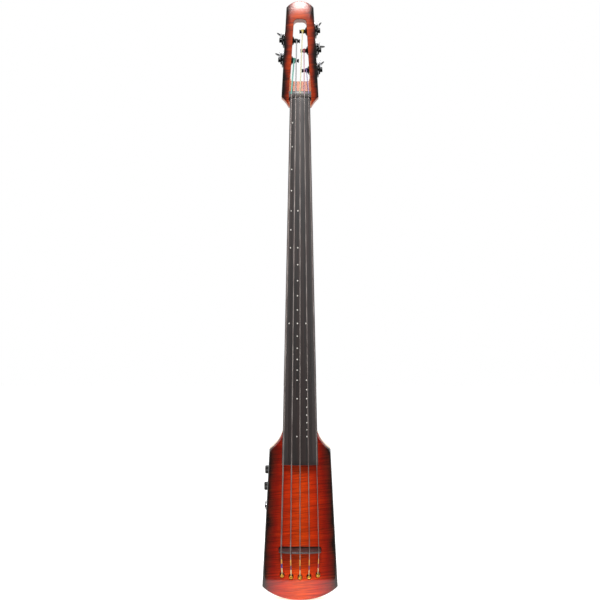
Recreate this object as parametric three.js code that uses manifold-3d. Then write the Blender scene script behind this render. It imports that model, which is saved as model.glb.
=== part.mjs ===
// A slim five-string electric upright bass: solid maple body, carved top, fretless ebony board.
// Millimetres, +Z up the neck, the strings face -Y, the player stands at +Y.
// The origin is the middle of the stand plate's back face.
import * as THREE from "three";
import { mergeVertices } from "three/addons/utils/BufferGeometryUtils.js";
import Module from "manifold-3d";

const wasm = await Module();
wasm.setup();

// ---- driving dimensions -------------------------------------------------------------------------
const NUT_Z = 980; // front edge of the nut above the stand plate's middle
const SCALE = 1067; // speaking length of the strings
const GAP = 0.3; // clearance between pieces that meet

// Depths, from the back plane at 0 towards the strings at -Y.
const BACK_Y = -4; // back of the body
const GLUE_Y = -36; // joint between core and top plate
const TOP_Y = -44; // crown of the top plate
const NECK_Y = -56; // flat of the neck under the fingerboard
const BOARD_Y = -68; // crown of the fingerboard
const HEAD_CORE_Y = -57; // front of the pegbox under its face veneer
const HEAD_FACE_Y = -60; // front of the head
const HEAD_BACK_Y = -28; // back of the head
const POST_Y = -44; // axis of the tuner posts
const NUT_TOP_Y = -70; // crown of the nut
const BRIDGE_TOP_Y = -84; // crown of the bridge

// Body outline, as half widths and distances below the nut.
const SHOULDER = { x: 43, d: 794 };
const CORNER = { x: 73, d: 834 };
const HIP = { x: 90.4, d: 1162 };
const BODY_END = 1194;
const EDGE_ROLL = 8; // width of the rolled edge of the top plate
const EDGE_DROP = 4.5; // its depth

// Fingerboard and neck.
const BOARD_END = 868.4;
const BOARD_HALF = [23.8, 42.7];
const BOARD_SAG = [3.6, 6.6];
const NECK_BACK = 25; // depth of the neck's round back
const HEEL = { x: 30, top: 780, end: 884, y: -18 };
const ROD = { half: 3, y: [-53, -46], d: [30, 780] };

// Head and its slot.
const HEAD_TOP = { x: 32, d: -214, rise: 17.5 };
const HEAD_LOW = { x: 43.9, d: -3 };
const HEAD_TAIL = { x: 27, d: 18 };
const SLOT = { top: -187, low: -43, halfTop: 15, halfLow: 23, radius: 10 };
const WALL_TILT = Math.atan2(HEAD_LOW.x - HEAD_TOP.x, HEAD_LOW.d - HEAD_TOP.d);
const NUT_DEPTH = 15;
const NUT_HALF = 26.2;

// Strings, from the lowest to the highest.
const STRING_R = [1.5, 1.25, 1.1, 0.95, 0.8];
const NUT_PITCH = 10.1;
const BRIDGE_PITCH = 22;
const TAIL_PITCH = 21.4;
const BRIDGE_D = SCALE + 5;
const BRIDGE_HALF = [50, 4];
const CROWN_R = 125;
const BALL_D = [1135, 1139, 1140, 1139, 1135];
const BALL_R = 4;
const BALL_Y = -41.5;

// Tuners: side, distance of the post below the nut, key angle, place of the string on the post.
const TUNERS = [
  { side: -1, d: -93.6, key: 23, string: -14 },
  { side: -1, d: -140.3, key: 33, string: -8 },
  { side: 1, d: -163, key: 45, string: 6 },
  { side: 1, d: -117, key: 0, string: 9.5 },
  { side: 1, d: -70, key: 40, string: 15 },
];
const WALL = 18.6; // thickness of the pegbox cheeks
const POST = { r: 4.2, drum: 4.8, waist: 3.5, end: -36.3, drumStart: -24.5, stub: 2.3 };
const TEETH = 20;
const GEAR = { r: 9.9, pitch: 10.2, tooth: 0.7, x: [3.6, 7.4] };
const WORM = { r: 3.4, x: 5.5, z: 13.6, half: 6.4 };
const WORM_PITCH = (2 * Math.PI * GEAR.pitch) / TEETH;
const WORM_PIVOT = 1.8; // radius of the worm's front journal

// Controls on the low-string side of the body.
const CAVITY = { x: [-65, -36], d: [866, 1004], y: [-28, BACK_Y] };
const COVER = { x: [-69, -32], d: [862, 1008], thick: 2.5 };
const KNOB_D = [885.9, 925.5];
const KNOB = { r: 9.75, thick: 10, shaft: 3, bushing: 4.5 };
const CONTROL_Y = -18;
const JACK_D = 972;
const JACK = { r: 6, bore: 3.3, plate: 11 };
const STAND = { x: 27, z: 34 };

// ---- small geometry helpers ---------------------------------------------------------------------
const below = (d) => NUT_Z - d;
const halfPi = Math.PI / 2;

function toSolid(geometry) {
  const bare = geometry.clone();
  bare.deleteAttribute("normal");
  bare.deleteAttribute("uv");
  const merged = mergeVertices(bare, 1e-4);
  return new wasm.Manifold(
    new wasm.Mesh({
      numProp: 3,
      vertProperties: merged.attributes.position.array,
      triVerts: new Uint32Array(merged.index.array),
    }),
  );
}

function toGeometry(solid) {
  const mesh = solid.getMesh();
  const geometry = new THREE.BufferGeometry();
  geometry.setAttribute("position", new THREE.BufferAttribute(mesh.vertProperties, 3));
  geometry.setIndex(new THREE.BufferAttribute(mesh.triVerts, 1));
  return geometry;
}

const cut = (base, ...tools) =>
  toGeometry(tools.reduce((solid, tool) => solid.subtract(toSolid(tool)), toSolid(base)));
const join = (base, ...more) =>
  toGeometry(more.reduce((solid, piece) => solid.add(toSolid(piece)), toSolid(base)));

function box(x, y, z) {
  const geometry = new THREE.BoxGeometry(x[1] - x[0], y[1] - y[0], z[1] - z[0]);
  return geometry.translate((x[0] + x[1]) / 2, (y[0] + y[1]) / 2, (z[0] + z[1]) / 2);
}

// A round bar along one axis, from a to b.
function bar(axis, radius, a, b, sides = 16) {
  const geometry = new THREE.CylinderGeometry(radius, radius, b - a, sides);
  geometry.translate(0, (a + b) / 2, 0);
  if (axis === "x") geometry.rotateZ(-halfPi);
  if (axis === "z") geometry.rotateX(halfPi);
  return geometry;
}

// A turned piece about X: profile points are [x, radius], in either order.
function turned(profile, sides = 16) {
  const points = profile.map(([x, r]) => new THREE.Vector2(r, x));
  if (THREE.ShapeUtils.isClockWise(points)) points.reverse();
  return new THREE.LatheGeometry(points, sides).rotateZ(-halfPi);
}

// A front-view outline in x and z, given its depth between two y planes.
function slab(shape, front, back, steps = 12) {
  const geometry = new THREE.ExtrudeGeometry(shape, {
    depth: back - front,
    bevelEnabled: false,
    curveSegments: steps,
  });
  return geometry.rotateX(halfPi).translate(0, back, 0);
}

// A closed skin over equal rings of points, with flat ends: each ring is a list of [x, y, z].
// The rings are put in rising order, each running anticlockwise, so the faces point outwards.
function loft(rows) {
  const flat = (ring) => ring.map(([x, y]) => new THREE.Vector2(x, y));
  const clockwise = THREE.ShapeUtils.isClockWise(flat(rows[0]));
  const rings = rows.map((ring) => (clockwise ? ring.toReversed() : ring));
  if (rings[0][0][2] > rings.at(-1)[0][2]) rings.reverse();
  const count = rings[0].length;
  const position = rings.flat(2);
  const index = [];
  for (let row = 0; row + 1 < rings.length; row++) {
    for (let i = 0; i < count; i++) {
      const a = row * count + i;
      const b = row * count + ((i + 1) % count);
      index.push(a, b, a + count, b, b + count, a + count);
    }
  }
  const last = (rings.length - 1) * count;
  for (const [a, b, c] of THREE.ShapeUtils.triangulateShape(flat(rings[0]), [])) {
    index.push(a, c, b);
  }
  for (const [a, b, c] of THREE.ShapeUtils.triangulateShape(flat(rings.at(-1)), [])) {
    index.push(last + a, last + b, last + c);
  }
  const geometry = new THREE.BufferGeometry();
  geometry.setAttribute("position", new THREE.Float32BufferAttribute(position, 3));
  geometry.setIndex(index);
  return geometry;
}

// ---- materials ----------------------------------------------------------------------------------
const material = (color, roughness, metalness = 0) =>
  new THREE.MeshStandardMaterial({ color, roughness, metalness });
const FLAME = material(0xa23a08, 0.25);
const MAPLE = material(0xc08a4c, 0.45);
const EBONY = material(0x241a18, 0.4);
const BLACK_METAL = material(0x101010, 0.35, 0.6);
const BLACK_PLASTIC = material(0x161616, 0.5);
const NICKEL = material(0xc8c8cc, 0.25, 1);
const STEEL = material(0x9a9a9e, 0.4, 1);
const BRASS = material(0xc8a030, 0.3, 1);
const BOARD_GREEN = material(0x1f5a30, 0.6);
const STRING_STEEL = material(0x8e8784, 0.4, 0.8);

const bass = new THREE.Group();

function add(name, geometry, finish, parent = bass) {
  const mesh = new THREE.Mesh(geometry, finish);
  mesh.name = name;
  parent.add(mesh);
  return mesh;
}

// ---- body ---------------------------------------------------------------------------------------
// Outline of the body, drawn inwards by `inset`: neck joint, hollow shoulder, flaring side, round end.
function bodyOutline(inset = 0) {
  const shape = new THREE.Shape();
  const waist = [SHOULDER.x - 12, SHOULDER.d + inset];
  shape.moveTo(-waist[0], below(waist[1]));
  shape.lineTo(-SHOULDER.x, below(SHOULDER.d + inset));
  shape.quadraticCurveTo(
    -SHOULDER.x - 5 + inset / 2,
    below(SHOULDER.d + 21 + inset),
    -CORNER.x + inset,
    below(CORNER.d + inset),
  );
  shape.lineTo(-HIP.x + inset, below(HIP.d - inset / 2));
  shape.bezierCurveTo(
    -HIP.x / 2,
    below(HIP.d + (BODY_END - HIP.d) * 1.333 - inset),
    HIP.x / 2,
    below(HIP.d + (BODY_END - HIP.d) * 1.333 - inset),
    HIP.x - inset,
    below(HIP.d - inset / 2),
  );
  shape.lineTo(CORNER.x - inset, below(CORNER.d + inset));
  shape.quadraticCurveTo(
    SHOULDER.x + 5 - inset / 2,
    below(SHOULDER.d + 21 + inset),
    SHOULDER.x,
    below(SHOULDER.d + inset),
  );
  shape.lineTo(waist[0], below(waist[1]));
  return shape;
}

const slotCutter = (grow, y) =>
  box([-BRIDGE_HALF[0] - grow, BRIDGE_HALF[0] + grow], y, [
    below(BRIDGE_D + BRIDGE_HALF[1] + grow),
    below(BRIDGE_D - BRIDGE_HALF[1] - grow),
  ]);
const tailX = (i) => (i - 2) * TAIL_PITCH;
const sideHole = (radius, d) =>
  bar("x", radius, -95, CAVITY.x[0] + 1).translate(0, CONTROL_Y, below(d));
const heelCutter = (y) =>
  box([-HEEL.x - GAP, HEEL.x + GAP], y, [below(HEEL.end + GAP), below(HEEL.top - 20)]);
// Oval pockets, a little longer above each ball, where its string comes out.
const ballPockets = (y) =>
  BALL_D.map((d, i) =>
    bar("y", BALL_R + 1.7, y[0], y[1], 12).scale(1, 1, 1.35).translate(tailX(i), 0, below(d - 1.7)),
  );

function bodyCore() {
  return cut(
    slab(bodyOutline(), GLUE_Y, BACK_Y, 10),
    box(CAVITY.x, CAVITY.y, [below(CAVITY.d[1]), below(CAVITY.d[0])]),
    box(
      [COVER.x[0] - GAP, COVER.x[1] + GAP],
      [BACK_Y - COVER.thick - GAP, BACK_Y + 1],
      [below(COVER.d[1] + GAP), below(COVER.d[0] - GAP)],
    ),
    slotCutter(1, [GLUE_Y - 1, -14]),
    heelCutter([GLUE_Y - 1, HEEL.y + GAP]),
    ...ballPockets([GLUE_Y - 1, GLUE_Y + 4]),
    ...KNOB_D.map((d) => sideHole(KNOB.bushing + GAP, d)),
    sideHole(JACK.r + GAP, JACK_D),
  );
}

// The top plate: a flat slab with a rolled edge, crowned across by a wide arc.
function topPlate() {
  const outline = (inset, depth) => bodyOutline(inset).getPoints(10).map((p) => [p.x, p.y, depth]);
  const front = -TOP_Y;
  const rolled = loft([
    outline(0, -GLUE_Y),
    outline(0, front - EDGE_DROP),
    outline(EDGE_ROLL * 0.35, front - EDGE_DROP * 0.45),
    outline(EDGE_ROLL, front),
  ]);
  rolled.rotateX(halfPi);
  return cut(
    rolled,
    heelCutter([TOP_Y - 1, GLUE_Y + 1]),
    slotCutter(1, [TOP_Y - 1, GLUE_Y + 1]),
    ...ballPockets([TOP_Y - 1, GLUE_Y + 1]),
  );
}

add("body_core", bodyCore(), MAPLE);
add("top_plate", topPlate(), FLAME);

// ---- neck, pegbox, fingerboard ------------------------------------------------------------------
const boardHalf = (d) => THREE.MathUtils.lerp(...BOARD_HALF, d / BOARD_END);
const boardSag = (d) => THREE.MathUtils.lerp(...BOARD_SAG, d / BOARD_END);

// Flat towards the board and round behind, like half an oval.
function neckRing(d, half, depth) {
  const ring = [];
  for (let i = 0; i <= 10; i++) {
    const angle = (Math.PI * i) / 10;
    ring.push([-half * Math.cos(angle), NECK_Y + depth * Math.sin(angle), below(d)]);
  }
  return ring;
}

function neck() {
  const shaft = loft(
    [SHOULDER.d - 2, 400, HEAD_TAIL.d + 1].map((d) =>
      neckRing(d, boardHalf(d) - 0.5, NECK_BACK + d / 160),
    ),
  );
  const heel = box(
    [-HEEL.x, HEEL.x],
    [NECK_Y, HEEL.y],
    [below(HEEL.end), below(HEEL.top)],
  );
  const channel = box(
    [-ROD.half - GAP, ROD.half + GAP],
    [NECK_Y - 1, ROD.y[1] + GAP],
    [below(ROD.d[1] + GAP), below(ROD.d[0] - GAP)],
  );
  return cut(join(shaft, heel), channel);
}

function fingerboard() {
  const ring = (d) => {
    const points = [
      [-boardHalf(d), NECK_Y, below(d)],
      [boardHalf(d), NECK_Y, below(d)],
    ];
    for (let i = 0; i <= 10; i++) {
      const across = 1 - i / 5;
      points.push([boardHalf(d) * across, BOARD_Y + boardSag(d) * across ** 2, below(d)]);
    }
    return points;
  };
  return loft([ring(BOARD_END), ring(0)]);
}

function headOutline() {
  const shape = new THREE.Shape();
  shape.moveTo(-HEAD_TOP.x, below(HEAD_TOP.d));
  shape.quadraticCurveTo(0, below(HEAD_TOP.d - 2 * HEAD_TOP.rise), HEAD_TOP.x, below(HEAD_TOP.d));
  shape.lineTo(HEAD_LOW.x, below(HEAD_LOW.d));
  shape.lineTo(HEAD_TAIL.x, below(HEAD_TAIL.d));
  shape.lineTo(-HEAD_TAIL.x, below(HEAD_TAIL.d));
  shape.lineTo(-HEAD_LOW.x, below(HEAD_LOW.d));
  return shape;
}

// The slot narrows upwards and has a round top; `low` is where it ends.
function slotOutline(low, halfLow) {
  const { top, halfTop, radius } = SLOT;
  const shape = new THREE.Shape();
  shape.moveTo(-halfLow, below(low));
  shape.lineTo(halfLow, below(low));
  shape.lineTo(halfTop + 0.6, below(top + radius));
  shape.quadraticCurveTo(halfTop, below(top), halfTop - radius, below(top));
  shape.lineTo(radius - halfTop, below(top));
  shape.quadraticCurveTo(-halfTop, below(top), -halfTop - 0.6, below(top + radius));
  return shape;
}

// Moves a piece drawn around a post, with x pointing out of the cheek, to its place on the head.
const wallHalf = (d) => HEAD_TOP.x + (d - HEAD_TOP.d) * Math.tan(WALL_TILT);
function onCheek(geometry, tuner) {
  geometry.rotateY(-WALL_TILT).translate(wallHalf(tuner.d), POST_Y, below(tuner.d));
  if (tuner.side > 0) return geometry;
  const mirrored = geometry.clone().scale(-1, 1, 1).toNonIndexed();
  const p = mirrored.attributes.position;
  for (let i = 0; i < p.count; i += 3) {
    const first = new THREE.Vector3().fromBufferAttribute(p, i);
    const second = new THREE.Vector3().fromBufferAttribute(p, i + 1);
    p.setXYZ(i, second.x, second.y, second.z);
    p.setXYZ(i + 1, first.x, first.y, first.z);
  }
  return mirrored;
}

function pegbox() {
  const ramp = new THREE.Shape();
  ramp.moveTo(HEAD_CORE_Y - 1, below(-NUT_DEPTH - GAP));
  ramp.lineTo(-52, below(-NUT_DEPTH - GAP));
  ramp.lineTo(-44, below(SLOT.low - 1));
  ramp.lineTo(HEAD_CORE_Y - 1, below(SLOT.low - 1));
  const rampCut = new THREE.ExtrudeGeometry(ramp, { depth: 45, bevelEnabled: false });
  rampCut.translate(0, 0, -22.5).applyMatrix4(
    new THREE.Matrix4().makeBasis(
      new THREE.Vector3(0, 1, 0),
      new THREE.Vector3(0, 0, 1),
      new THREE.Vector3(1, 0, 0),
    ),
  );
  return cut(
    slab(headOutline(), HEAD_CORE_Y, HEAD_BACK_Y, 10),
    slab(slotOutline(SLOT.low, SLOT.halfLow), HEAD_CORE_Y - 1, HEAD_BACK_Y + 1, 6),
    rampCut,
    box([-50, 50], [HEAD_CORE_Y - 1, NECK_Y], [below(HEAD_TAIL.d + 1), below(-NUT_DEPTH - GAP)]),
    ...TUNERS.map((t) => onCheek(bar("x", 6 + GAP, -WALL - 4, 4, 12), t)),
  );
}

function headFace() {
  return cut(
    slab(headOutline(), HEAD_FACE_Y, HEAD_CORE_Y, 10),
    slab(slotOutline(HEAD_TAIL.d + 1, 26), HEAD_FACE_Y - 1, HEAD_CORE_Y + 1, 6),
    box(
      [-NUT_HALF - GAP, NUT_HALF + GAP],
      [HEAD_FACE_Y - 1, HEAD_CORE_Y + 1],
      [below(HEAD_TAIL.d + 1), below(-NUT_DEPTH - GAP)],
    ),
  );
}

function nut() {
  const ring = [];
  for (let i = 0; i <= 8; i++) {
    const across = 1 - i / 4;
    ring.push([NUT_HALF * across, NUT_TOP_Y + 3.6 * across ** 2, 0]);
  }
  const half = (z) => [[-NUT_HALF, NECK_Y, z], [NUT_HALF, NECK_Y, z]].concat(
    ring.map(([x, y]) => [x, y, z]),
  );
  return loft([half(below(-GAP)), half(below(-NUT_DEPTH))]);
}

add("neck", neck(), MAPLE);
add("pegbox", pegbox(), MAPLE);
add("head_face", headFace(), FLAME);
add("fingerboard", fingerboard(), EBONY);
add("nut", nut(), EBONY);
add(
  "truss_rod",
  box([-ROD.half, ROD.half], ROD.y, [below(ROD.d[1]), below(ROD.d[0])]),
  STEEL,
);

// ---- bridge, strings, string balls --------------------------------------------------------------
function bridge() {
  const shape = new THREE.Shape();
  const foot = -17;
  const half = BRIDGE_HALF[0];
  shape.moveTo(-half, foot);
  for (let i = 0; i <= 12; i++) {
    const x = half * (i / 6 - 1);
    shape.lineTo(x, BRIDGE_TOP_Y + (x * x) / (2 * CROWN_R));
  }
  shape.lineTo(half, foot);
  const geometry = new THREE.ExtrudeGeometry(shape, {
    depth: 2 * BRIDGE_HALF[1],
    bevelEnabled: false,
  });
  return geometry.translate(0, 0, below(BRIDGE_D + BRIDGE_HALF[1]));
}

add("bridge", bridge(), EBONY);
add(
  "bridge_pickup",
  box([-48, 48], [-16.7, -14.2], [below(BRIDGE_D + 3.5), below(BRIDGE_D - 3.5)]),
  BRASS,
);

// A round string through the given [x, y, z] points, from the bottom up.
function stringTube(points, radius) {
  return loft(
    points.map(([x, y, z]) =>
      Array.from({ length: 8 }, (_, i) => {
        const angle = (2 * Math.PI * i) / 8;
        return [x + radius * Math.cos(angle), y + radius * Math.sin(angle), z];
      }),
    ),
  );
}

STRING_R.forEach((radius, i) => {
  const tuner = TUNERS[i];
  const place = i - 2;
  const nutX = place * NUT_PITCH;
  const bridgeX = place * BRIDGE_PITCH;
  const nutY = NUT_TOP_Y + 3.6 * (nutX / NUT_HALF) ** 2 - radius - 2 * GAP;
  const bridgeY = BRIDGE_TOP_Y + bridgeX ** 2 / (2 * CROWN_R) - radius - 3 * GAP;
  const ballZ = below(BALL_D[i]);
  const points = [
    [tailX(i), BALL_Y - BALL_R * 0.35, ballZ + BALL_R + GAP],
    [bridgeX, bridgeY, below(BRIDGE_D + BRIDGE_HALF[1] + GAP)],
    [bridgeX, bridgeY, below(BRIDGE_D - BRIDGE_HALF[1])],
    [nutX, nutY, below(-1)],
    [nutX, nutY, below(-NUT_DEPTH + 2)],
    [tuner.string, POST_Y - POST.drum - radius - GAP, below(tuner.d)],
  ];
  add("string_" + (i + 1), stringTube(points, radius), STRING_STEEL);
  const ball = new THREE.SphereGeometry(BALL_R, 12, 8).rotateX(halfPi);
  add("string_ball_" + (i + 1), ball, BRASS).position.set(tailX(i), BALL_Y, ballZ);
});

// ---- tuners -------------------------------------------------------------------------------------
// A wavy bar: `radiusAt(angle, along)` over a grid, closed by flat ends; it lies along Z.
function wavyBar(radiusAt, start, end, rows, sides) {
  const rings = [];
  for (let row = 0; row <= rows; row++) {
    const along = start + ((end - start) * row) / rows;
    rings.push(
      Array.from({ length: sides }, (_, i) => {
        const angle = (2 * Math.PI * i) / sides;
        const r = radiusAt(angle, along);
        return [r * Math.cos(angle), r * Math.sin(angle), along];
      }),
    );
  }
  return loft(rings);
}

// One-start worm, with a valley where the gear, whose teeth lean with the thread, has a tooth.
const wormTurn = (angle, along) =>
  WORM.r + GEAR.tooth * Math.cos(angle + halfPi - (2 * Math.PI * along) / WORM_PITCH);
const gearTurn = (angle, along) =>
  GEAR.r + GEAR.tooth * Math.cos(TEETH * angle - along / WORM.r);

// Turns a geometry so that its x, y and z directions become the three given ones.
const facing = (geometry, x, y, z) =>
  geometry.applyMatrix4(
    new THREE.Matrix4().makeBasis(
      new THREE.Vector3(...x),
      new THREE.Vector3(...y),
      new THREE.Vector3(...z),
    ),
  );

function tunerPlate() {
  return cut(
    join(box([GAP, 2.5], [-14, 14], [-14, 6.4]), box([GAP, 4], [-14, 14], [-15, -12])),
    bar("x", POST.r + GAP, -1, 5, 12),
  );
}

function tunerHousing() {
  const onWorm = (geometry) => geometry.translate(WORM.x, 0, WORM.z);
  const block = box([0.6, 10.4], [-13, 10], [7, WORM.z]);
  const tube = onWorm(bar("y", 5.2, -13, 10));
  const bore = onWorm(bar("y", WORM.r + GEAR.tooth + 2 * GAP, -11, 11));
  const pivot = onWorm(bar("y", WORM_PIVOT + GAP, -14, 0, 12));
  const side = [GEAR.x[0] - 2 * GAP, GEAR.x[1] + 2 * GAP];
  const gearRoom = bar("x", GEAR.r + GEAR.tooth + 3 * GAP, side[0], side[1], 24);
  return cut(join(block, tube), bore, pivot, gearRoom);
}

function tunerGear() {
  const half = (GEAR.x[1] - GEAR.x[0]) / 2;
  const blank = facing(wavyBar(gearTurn, -half, half, 1, TEETH * 4), [0, 0, 1], [0, 1, 0], [-1, 0, 0]);
  blank.translate(GEAR.x[0] + half, 0, 0);
  const cap = bar("x", 6, GEAR.x[1] - 0.5, 13.4);
  return cut(join(blank, cap), bar("x", POST.stub + GAP, 0, 9, 12));
}

function tunerPost() {
  const { r, drum, waist, end, drumStart, stub } = POST;
  return turned([
    [8.6, 0],
    [8.6, stub],
    [3.2, stub],
    [3.2, r],
    [drumStart + 1.5, r],
    [drumStart, drum],
    [(drumStart + end) / 2 + 2, waist],
    [(drumStart + end) / 2 - 2, waist],
    [end + 2, drum],
    [end, drum],
    [end, 0],
  ], 12);
}

function tunerBushing() {
  const r = POST.r + GAP;
  return turned([
    [-GAP, r],
    [-WALL - 4.4, r],
    [-WALL - 4.4, 5.6],
    [-WALL - GAP - 0.6, 11],
    [-WALL - GAP, 11],
    [-WALL - GAP, 6],
    [-GAP, 6],
    [-GAP, r],
  ], 12);
}

// Worm, its shaft and the flat key behind it, about the worm's own axis.
function tunerKey(tuner) {
  const turns = wavyBar(wormTurn, -WORM.half, WORM.half, 16, 12);
  const worm = facing(turns, [1, 0, 0], [0, 0, -1], [0, 1, 0]);
  const paddle = new THREE.Shape();
  paddle.absellipse(0, 27, 18, 9.5, 0, 2 * Math.PI);
  const blade = new THREE.ExtrudeGeometry(paddle, {
    depth: 3,
    bevelEnabled: false,
    curveSegments: 8,
  });
  blade.translate(0, 0, -1.5).rotateY((-tuner.key * Math.PI) / 180);
  const pivot = bar("y", WORM_PIVOT, -12.6, -WORM.half + 1, 12);
  const shaft = bar("y", 2.6, WORM.half - 1, 19, 12);
  return join(worm, pivot, shaft, blade).translate(WORM.x, 0, WORM.z);
}

TUNERS.forEach((tuner, i) => {
  const name = (piece) => "tuner_" + (i + 1) + "_" + piece;
  const pieces = [
    ["plate", tunerPlate(), BLACK_METAL],
    ["housing", tunerHousing(), NICKEL],
    ["gear", tunerGear(), BLACK_METAL],
    ["post", tunerPost(), BLACK_METAL],
    ["bushing", tunerBushing(), BLACK_METAL],
    ["key", tunerKey(tuner), BLACK_METAL],
  ];
  for (const [piece, geometry, finish] of pieces) {
    add(name(piece), onCheek(geometry, tuner), finish);
  }
});

// ---- controls, jack, covers ---------------------------------------------------------------------
// Half width of the body at a distance below the nut, between its corners.
const sideHalf = (d) => THREE.MathUtils.mapLinear(d, CORNER.d, HIP.d, CORNER.x, HIP.x);

["volume", "tone"].forEach((control, i) => {
  const side = sideHalf(KNOB_D[i]);
  const place = (geometry) => geometry.translate(0, CONTROL_Y, below(KNOB_D[i]));
  const inner = CAVITY.x[0];
  const can = bar("x", 8.5, inner + 1, inner + 13);
  const sleeve = bar("x", KNOB.bushing, -side + 1, inner + 2, 12);
  const bore = bar("x", KNOB.shaft + GAP, -side, inner + 10, 12);
  add(control + "_pot", place(cut(join(can, sleeve), bore)), STEEL);
  const head = turned([
    [-side - KNOB.thick + 2, 0],
    [-side - KNOB.thick + 2, KNOB.r - 2],
    [-side - KNOB.thick + 4, KNOB.r],
    [-side - 1, KNOB.r],
    [-side - 1, 0],
  ], 20);
  add(
    control + "_knob",
    place(join(head, bar("x", KNOB.shaft, -side - 2, inner + 9, 12))),
    BLACK_PLASTIC,
  );
});

const jackSide = -sideHalf(JACK_D);
const atJack = (geometry) => geometry.translate(0, CONTROL_Y, below(JACK_D));
add(
  "jack_plate",
  atJack(
    cut(
      bar("x", JACK.plate, jackSide - 2.5, jackSide - 1, 24),
      bar("x", JACK.r + GAP, jackSide - 5, jackSide + 5),
    ),
  ),
  BLACK_METAL,
);
add(
  "output_jack",
  atJack(
    cut(bar("x", JACK.r, jackSide - 2.5, -44), bar("x", JACK.bore, jackSide - 5, -47)),
  ),
  NICKEL,
);
add(
  "circuit_board",
  box([-60, -40], [-24, -22.4], [below(962), below(938)]),
  BOARD_GREEN,
);
add(
  "control_cover",
  box(COVER.x, [BACK_Y - COVER.thick, BACK_Y], [below(COVER.d[1]), below(COVER.d[0])]),
  BLACK_PLASTIC,
);
add("stand_plate", box([-STAND.x, STAND.x], [BACK_Y, 0], [-STAND.z, STAND.z]), BLACK_METAL);

export default bass;
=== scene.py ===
"""Looks of a slim five-string electric upright bass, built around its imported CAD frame.

Lengths in this file are millimetres in the frame's own axes (+Z up the neck, the strings face -Y);
they become metres when a mesh is made.
"""
import math

import bpy
import numpy as np
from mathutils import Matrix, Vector


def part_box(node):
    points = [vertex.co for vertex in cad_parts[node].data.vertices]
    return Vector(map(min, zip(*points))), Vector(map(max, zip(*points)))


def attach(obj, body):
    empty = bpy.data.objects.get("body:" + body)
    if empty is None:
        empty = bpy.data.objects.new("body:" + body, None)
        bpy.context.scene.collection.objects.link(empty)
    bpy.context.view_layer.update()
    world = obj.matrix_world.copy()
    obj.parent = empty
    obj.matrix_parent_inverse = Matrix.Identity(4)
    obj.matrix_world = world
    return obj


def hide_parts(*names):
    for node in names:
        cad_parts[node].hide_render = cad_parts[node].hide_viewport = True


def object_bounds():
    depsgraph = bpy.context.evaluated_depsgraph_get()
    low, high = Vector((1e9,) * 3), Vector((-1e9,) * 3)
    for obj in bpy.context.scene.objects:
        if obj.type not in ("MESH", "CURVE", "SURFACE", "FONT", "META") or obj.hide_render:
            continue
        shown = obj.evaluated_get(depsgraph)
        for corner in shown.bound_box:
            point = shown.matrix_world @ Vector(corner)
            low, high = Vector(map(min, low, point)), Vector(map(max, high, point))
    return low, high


bl_info = {
    "name": "Electric upright bass",
    "version": (1, 0, 0),
    "blender": (4, 5, 0),
    "location": "View3D > Sidebar > Bass",
    "description": "Builds the visible surfaces and finishes of a slim upright bass on its CAD frame",
    "category": "Add Mesh",
}

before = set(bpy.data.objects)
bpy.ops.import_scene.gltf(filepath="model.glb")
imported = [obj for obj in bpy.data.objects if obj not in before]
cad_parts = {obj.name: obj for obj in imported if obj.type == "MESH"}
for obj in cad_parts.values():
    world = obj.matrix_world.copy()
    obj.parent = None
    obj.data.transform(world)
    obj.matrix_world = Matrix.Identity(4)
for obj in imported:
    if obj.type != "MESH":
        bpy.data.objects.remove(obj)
CAD_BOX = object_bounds()
MM = 0.001
ROOT = "instrument"


def box_mm(node):
    """Lowest and highest corner of a CAD node, in millimetres."""
    low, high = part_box(node)
    return np.array(low) / MM, np.array(high) / MM


# ---- places taken from the frame --------------------------------------------------------------
BOARD_LOW, BOARD_HIGH = box_mm("fingerboard")
CORE_LOW, CORE_HIGH = box_mm("body_core")
TOP_LOW, TOP_HIGH = box_mm("top_plate")
FACE_LOW, FACE_HIGH = box_mm("head_face")
PEGBOX_LOW, PEGBOX_HIGH = box_mm("pegbox")
NUT_LOW, NUT_HIGH = box_mm("nut")
BRIDGE_LOW, BRIDGE_HIGH = box_mm("bridge")
COVER_LOW, COVER_HIGH = box_mm("control_cover")
STAND_LOW, STAND_HIGH = box_mm("stand_plate")

NUT_Z = BOARD_HIGH[2]
SCALE = 1067.0
BOARD_LENGTH = BOARD_HIGH[2] - BOARD_LOW[2]
BOARD_HALF = (23.8, BOARD_HIGH[0])
BOARD_SAG = (3.6, 6.6)
SHOULDER = (43.0, 794.0)
CORNER = (73.0, 834.0)
HIP = (CORE_HIGH[0], 1162.0)
BODY_END = NUT_Z - CORE_LOW[2]
POST_Y = -44.0
GLUE_BACK = TOP_HIGH[1] + 1
BRIDGE_D = NUT_Z - (BRIDGE_LOW[2] + BRIDGE_HIGH[2]) / 2
CROWN_R = 125.0
NUT_SAG = 3.6
NUT_DEEP = NUT_HIGH[2] - NUT_LOW[2] + 0.3
HEAD_CORNER = (32.0, -214.0)
HEAD_CHEEK = (FACE_HIGH[0], -3.0)
HEAD_TAIL = (27.0, NUT_Z - FACE_LOW[2])
SLOT_TOP, SLOT_LOW = -187.0, -43.0
BRIDGE_SLOT = (51.6, 6.0)  # half length and end radius of the slot that the bridge stands in
BALL_POCKET = (5.8, 7.6)  # half width and half height of a ball-end's pocket
WELL_FLOOR = -14.5  # y of the bridge slot's floor in the core
STRING_R = (1.5, 1.25, 1.1, 0.95, 0.8)
STRING_SPACING = (10.1, 22.0)  # at the nut and at the bridge
STRING_AT_POST = (-14.0, -8.0, 6.0, 9.5, 15.0)
WORM_AT = (5.5, 13.6)
POSTS = ((-1, -93.6), (-1, -140.3), (1, -163.0), (1, -117.0), (1, -70.0))
KEY_Y = box_mm("tuner_1_key")[1][1] - POST_Y - 9.5
KEY_ANGLE = (23.0, 33.0, 45.0, 0.0, 40.0)
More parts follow.
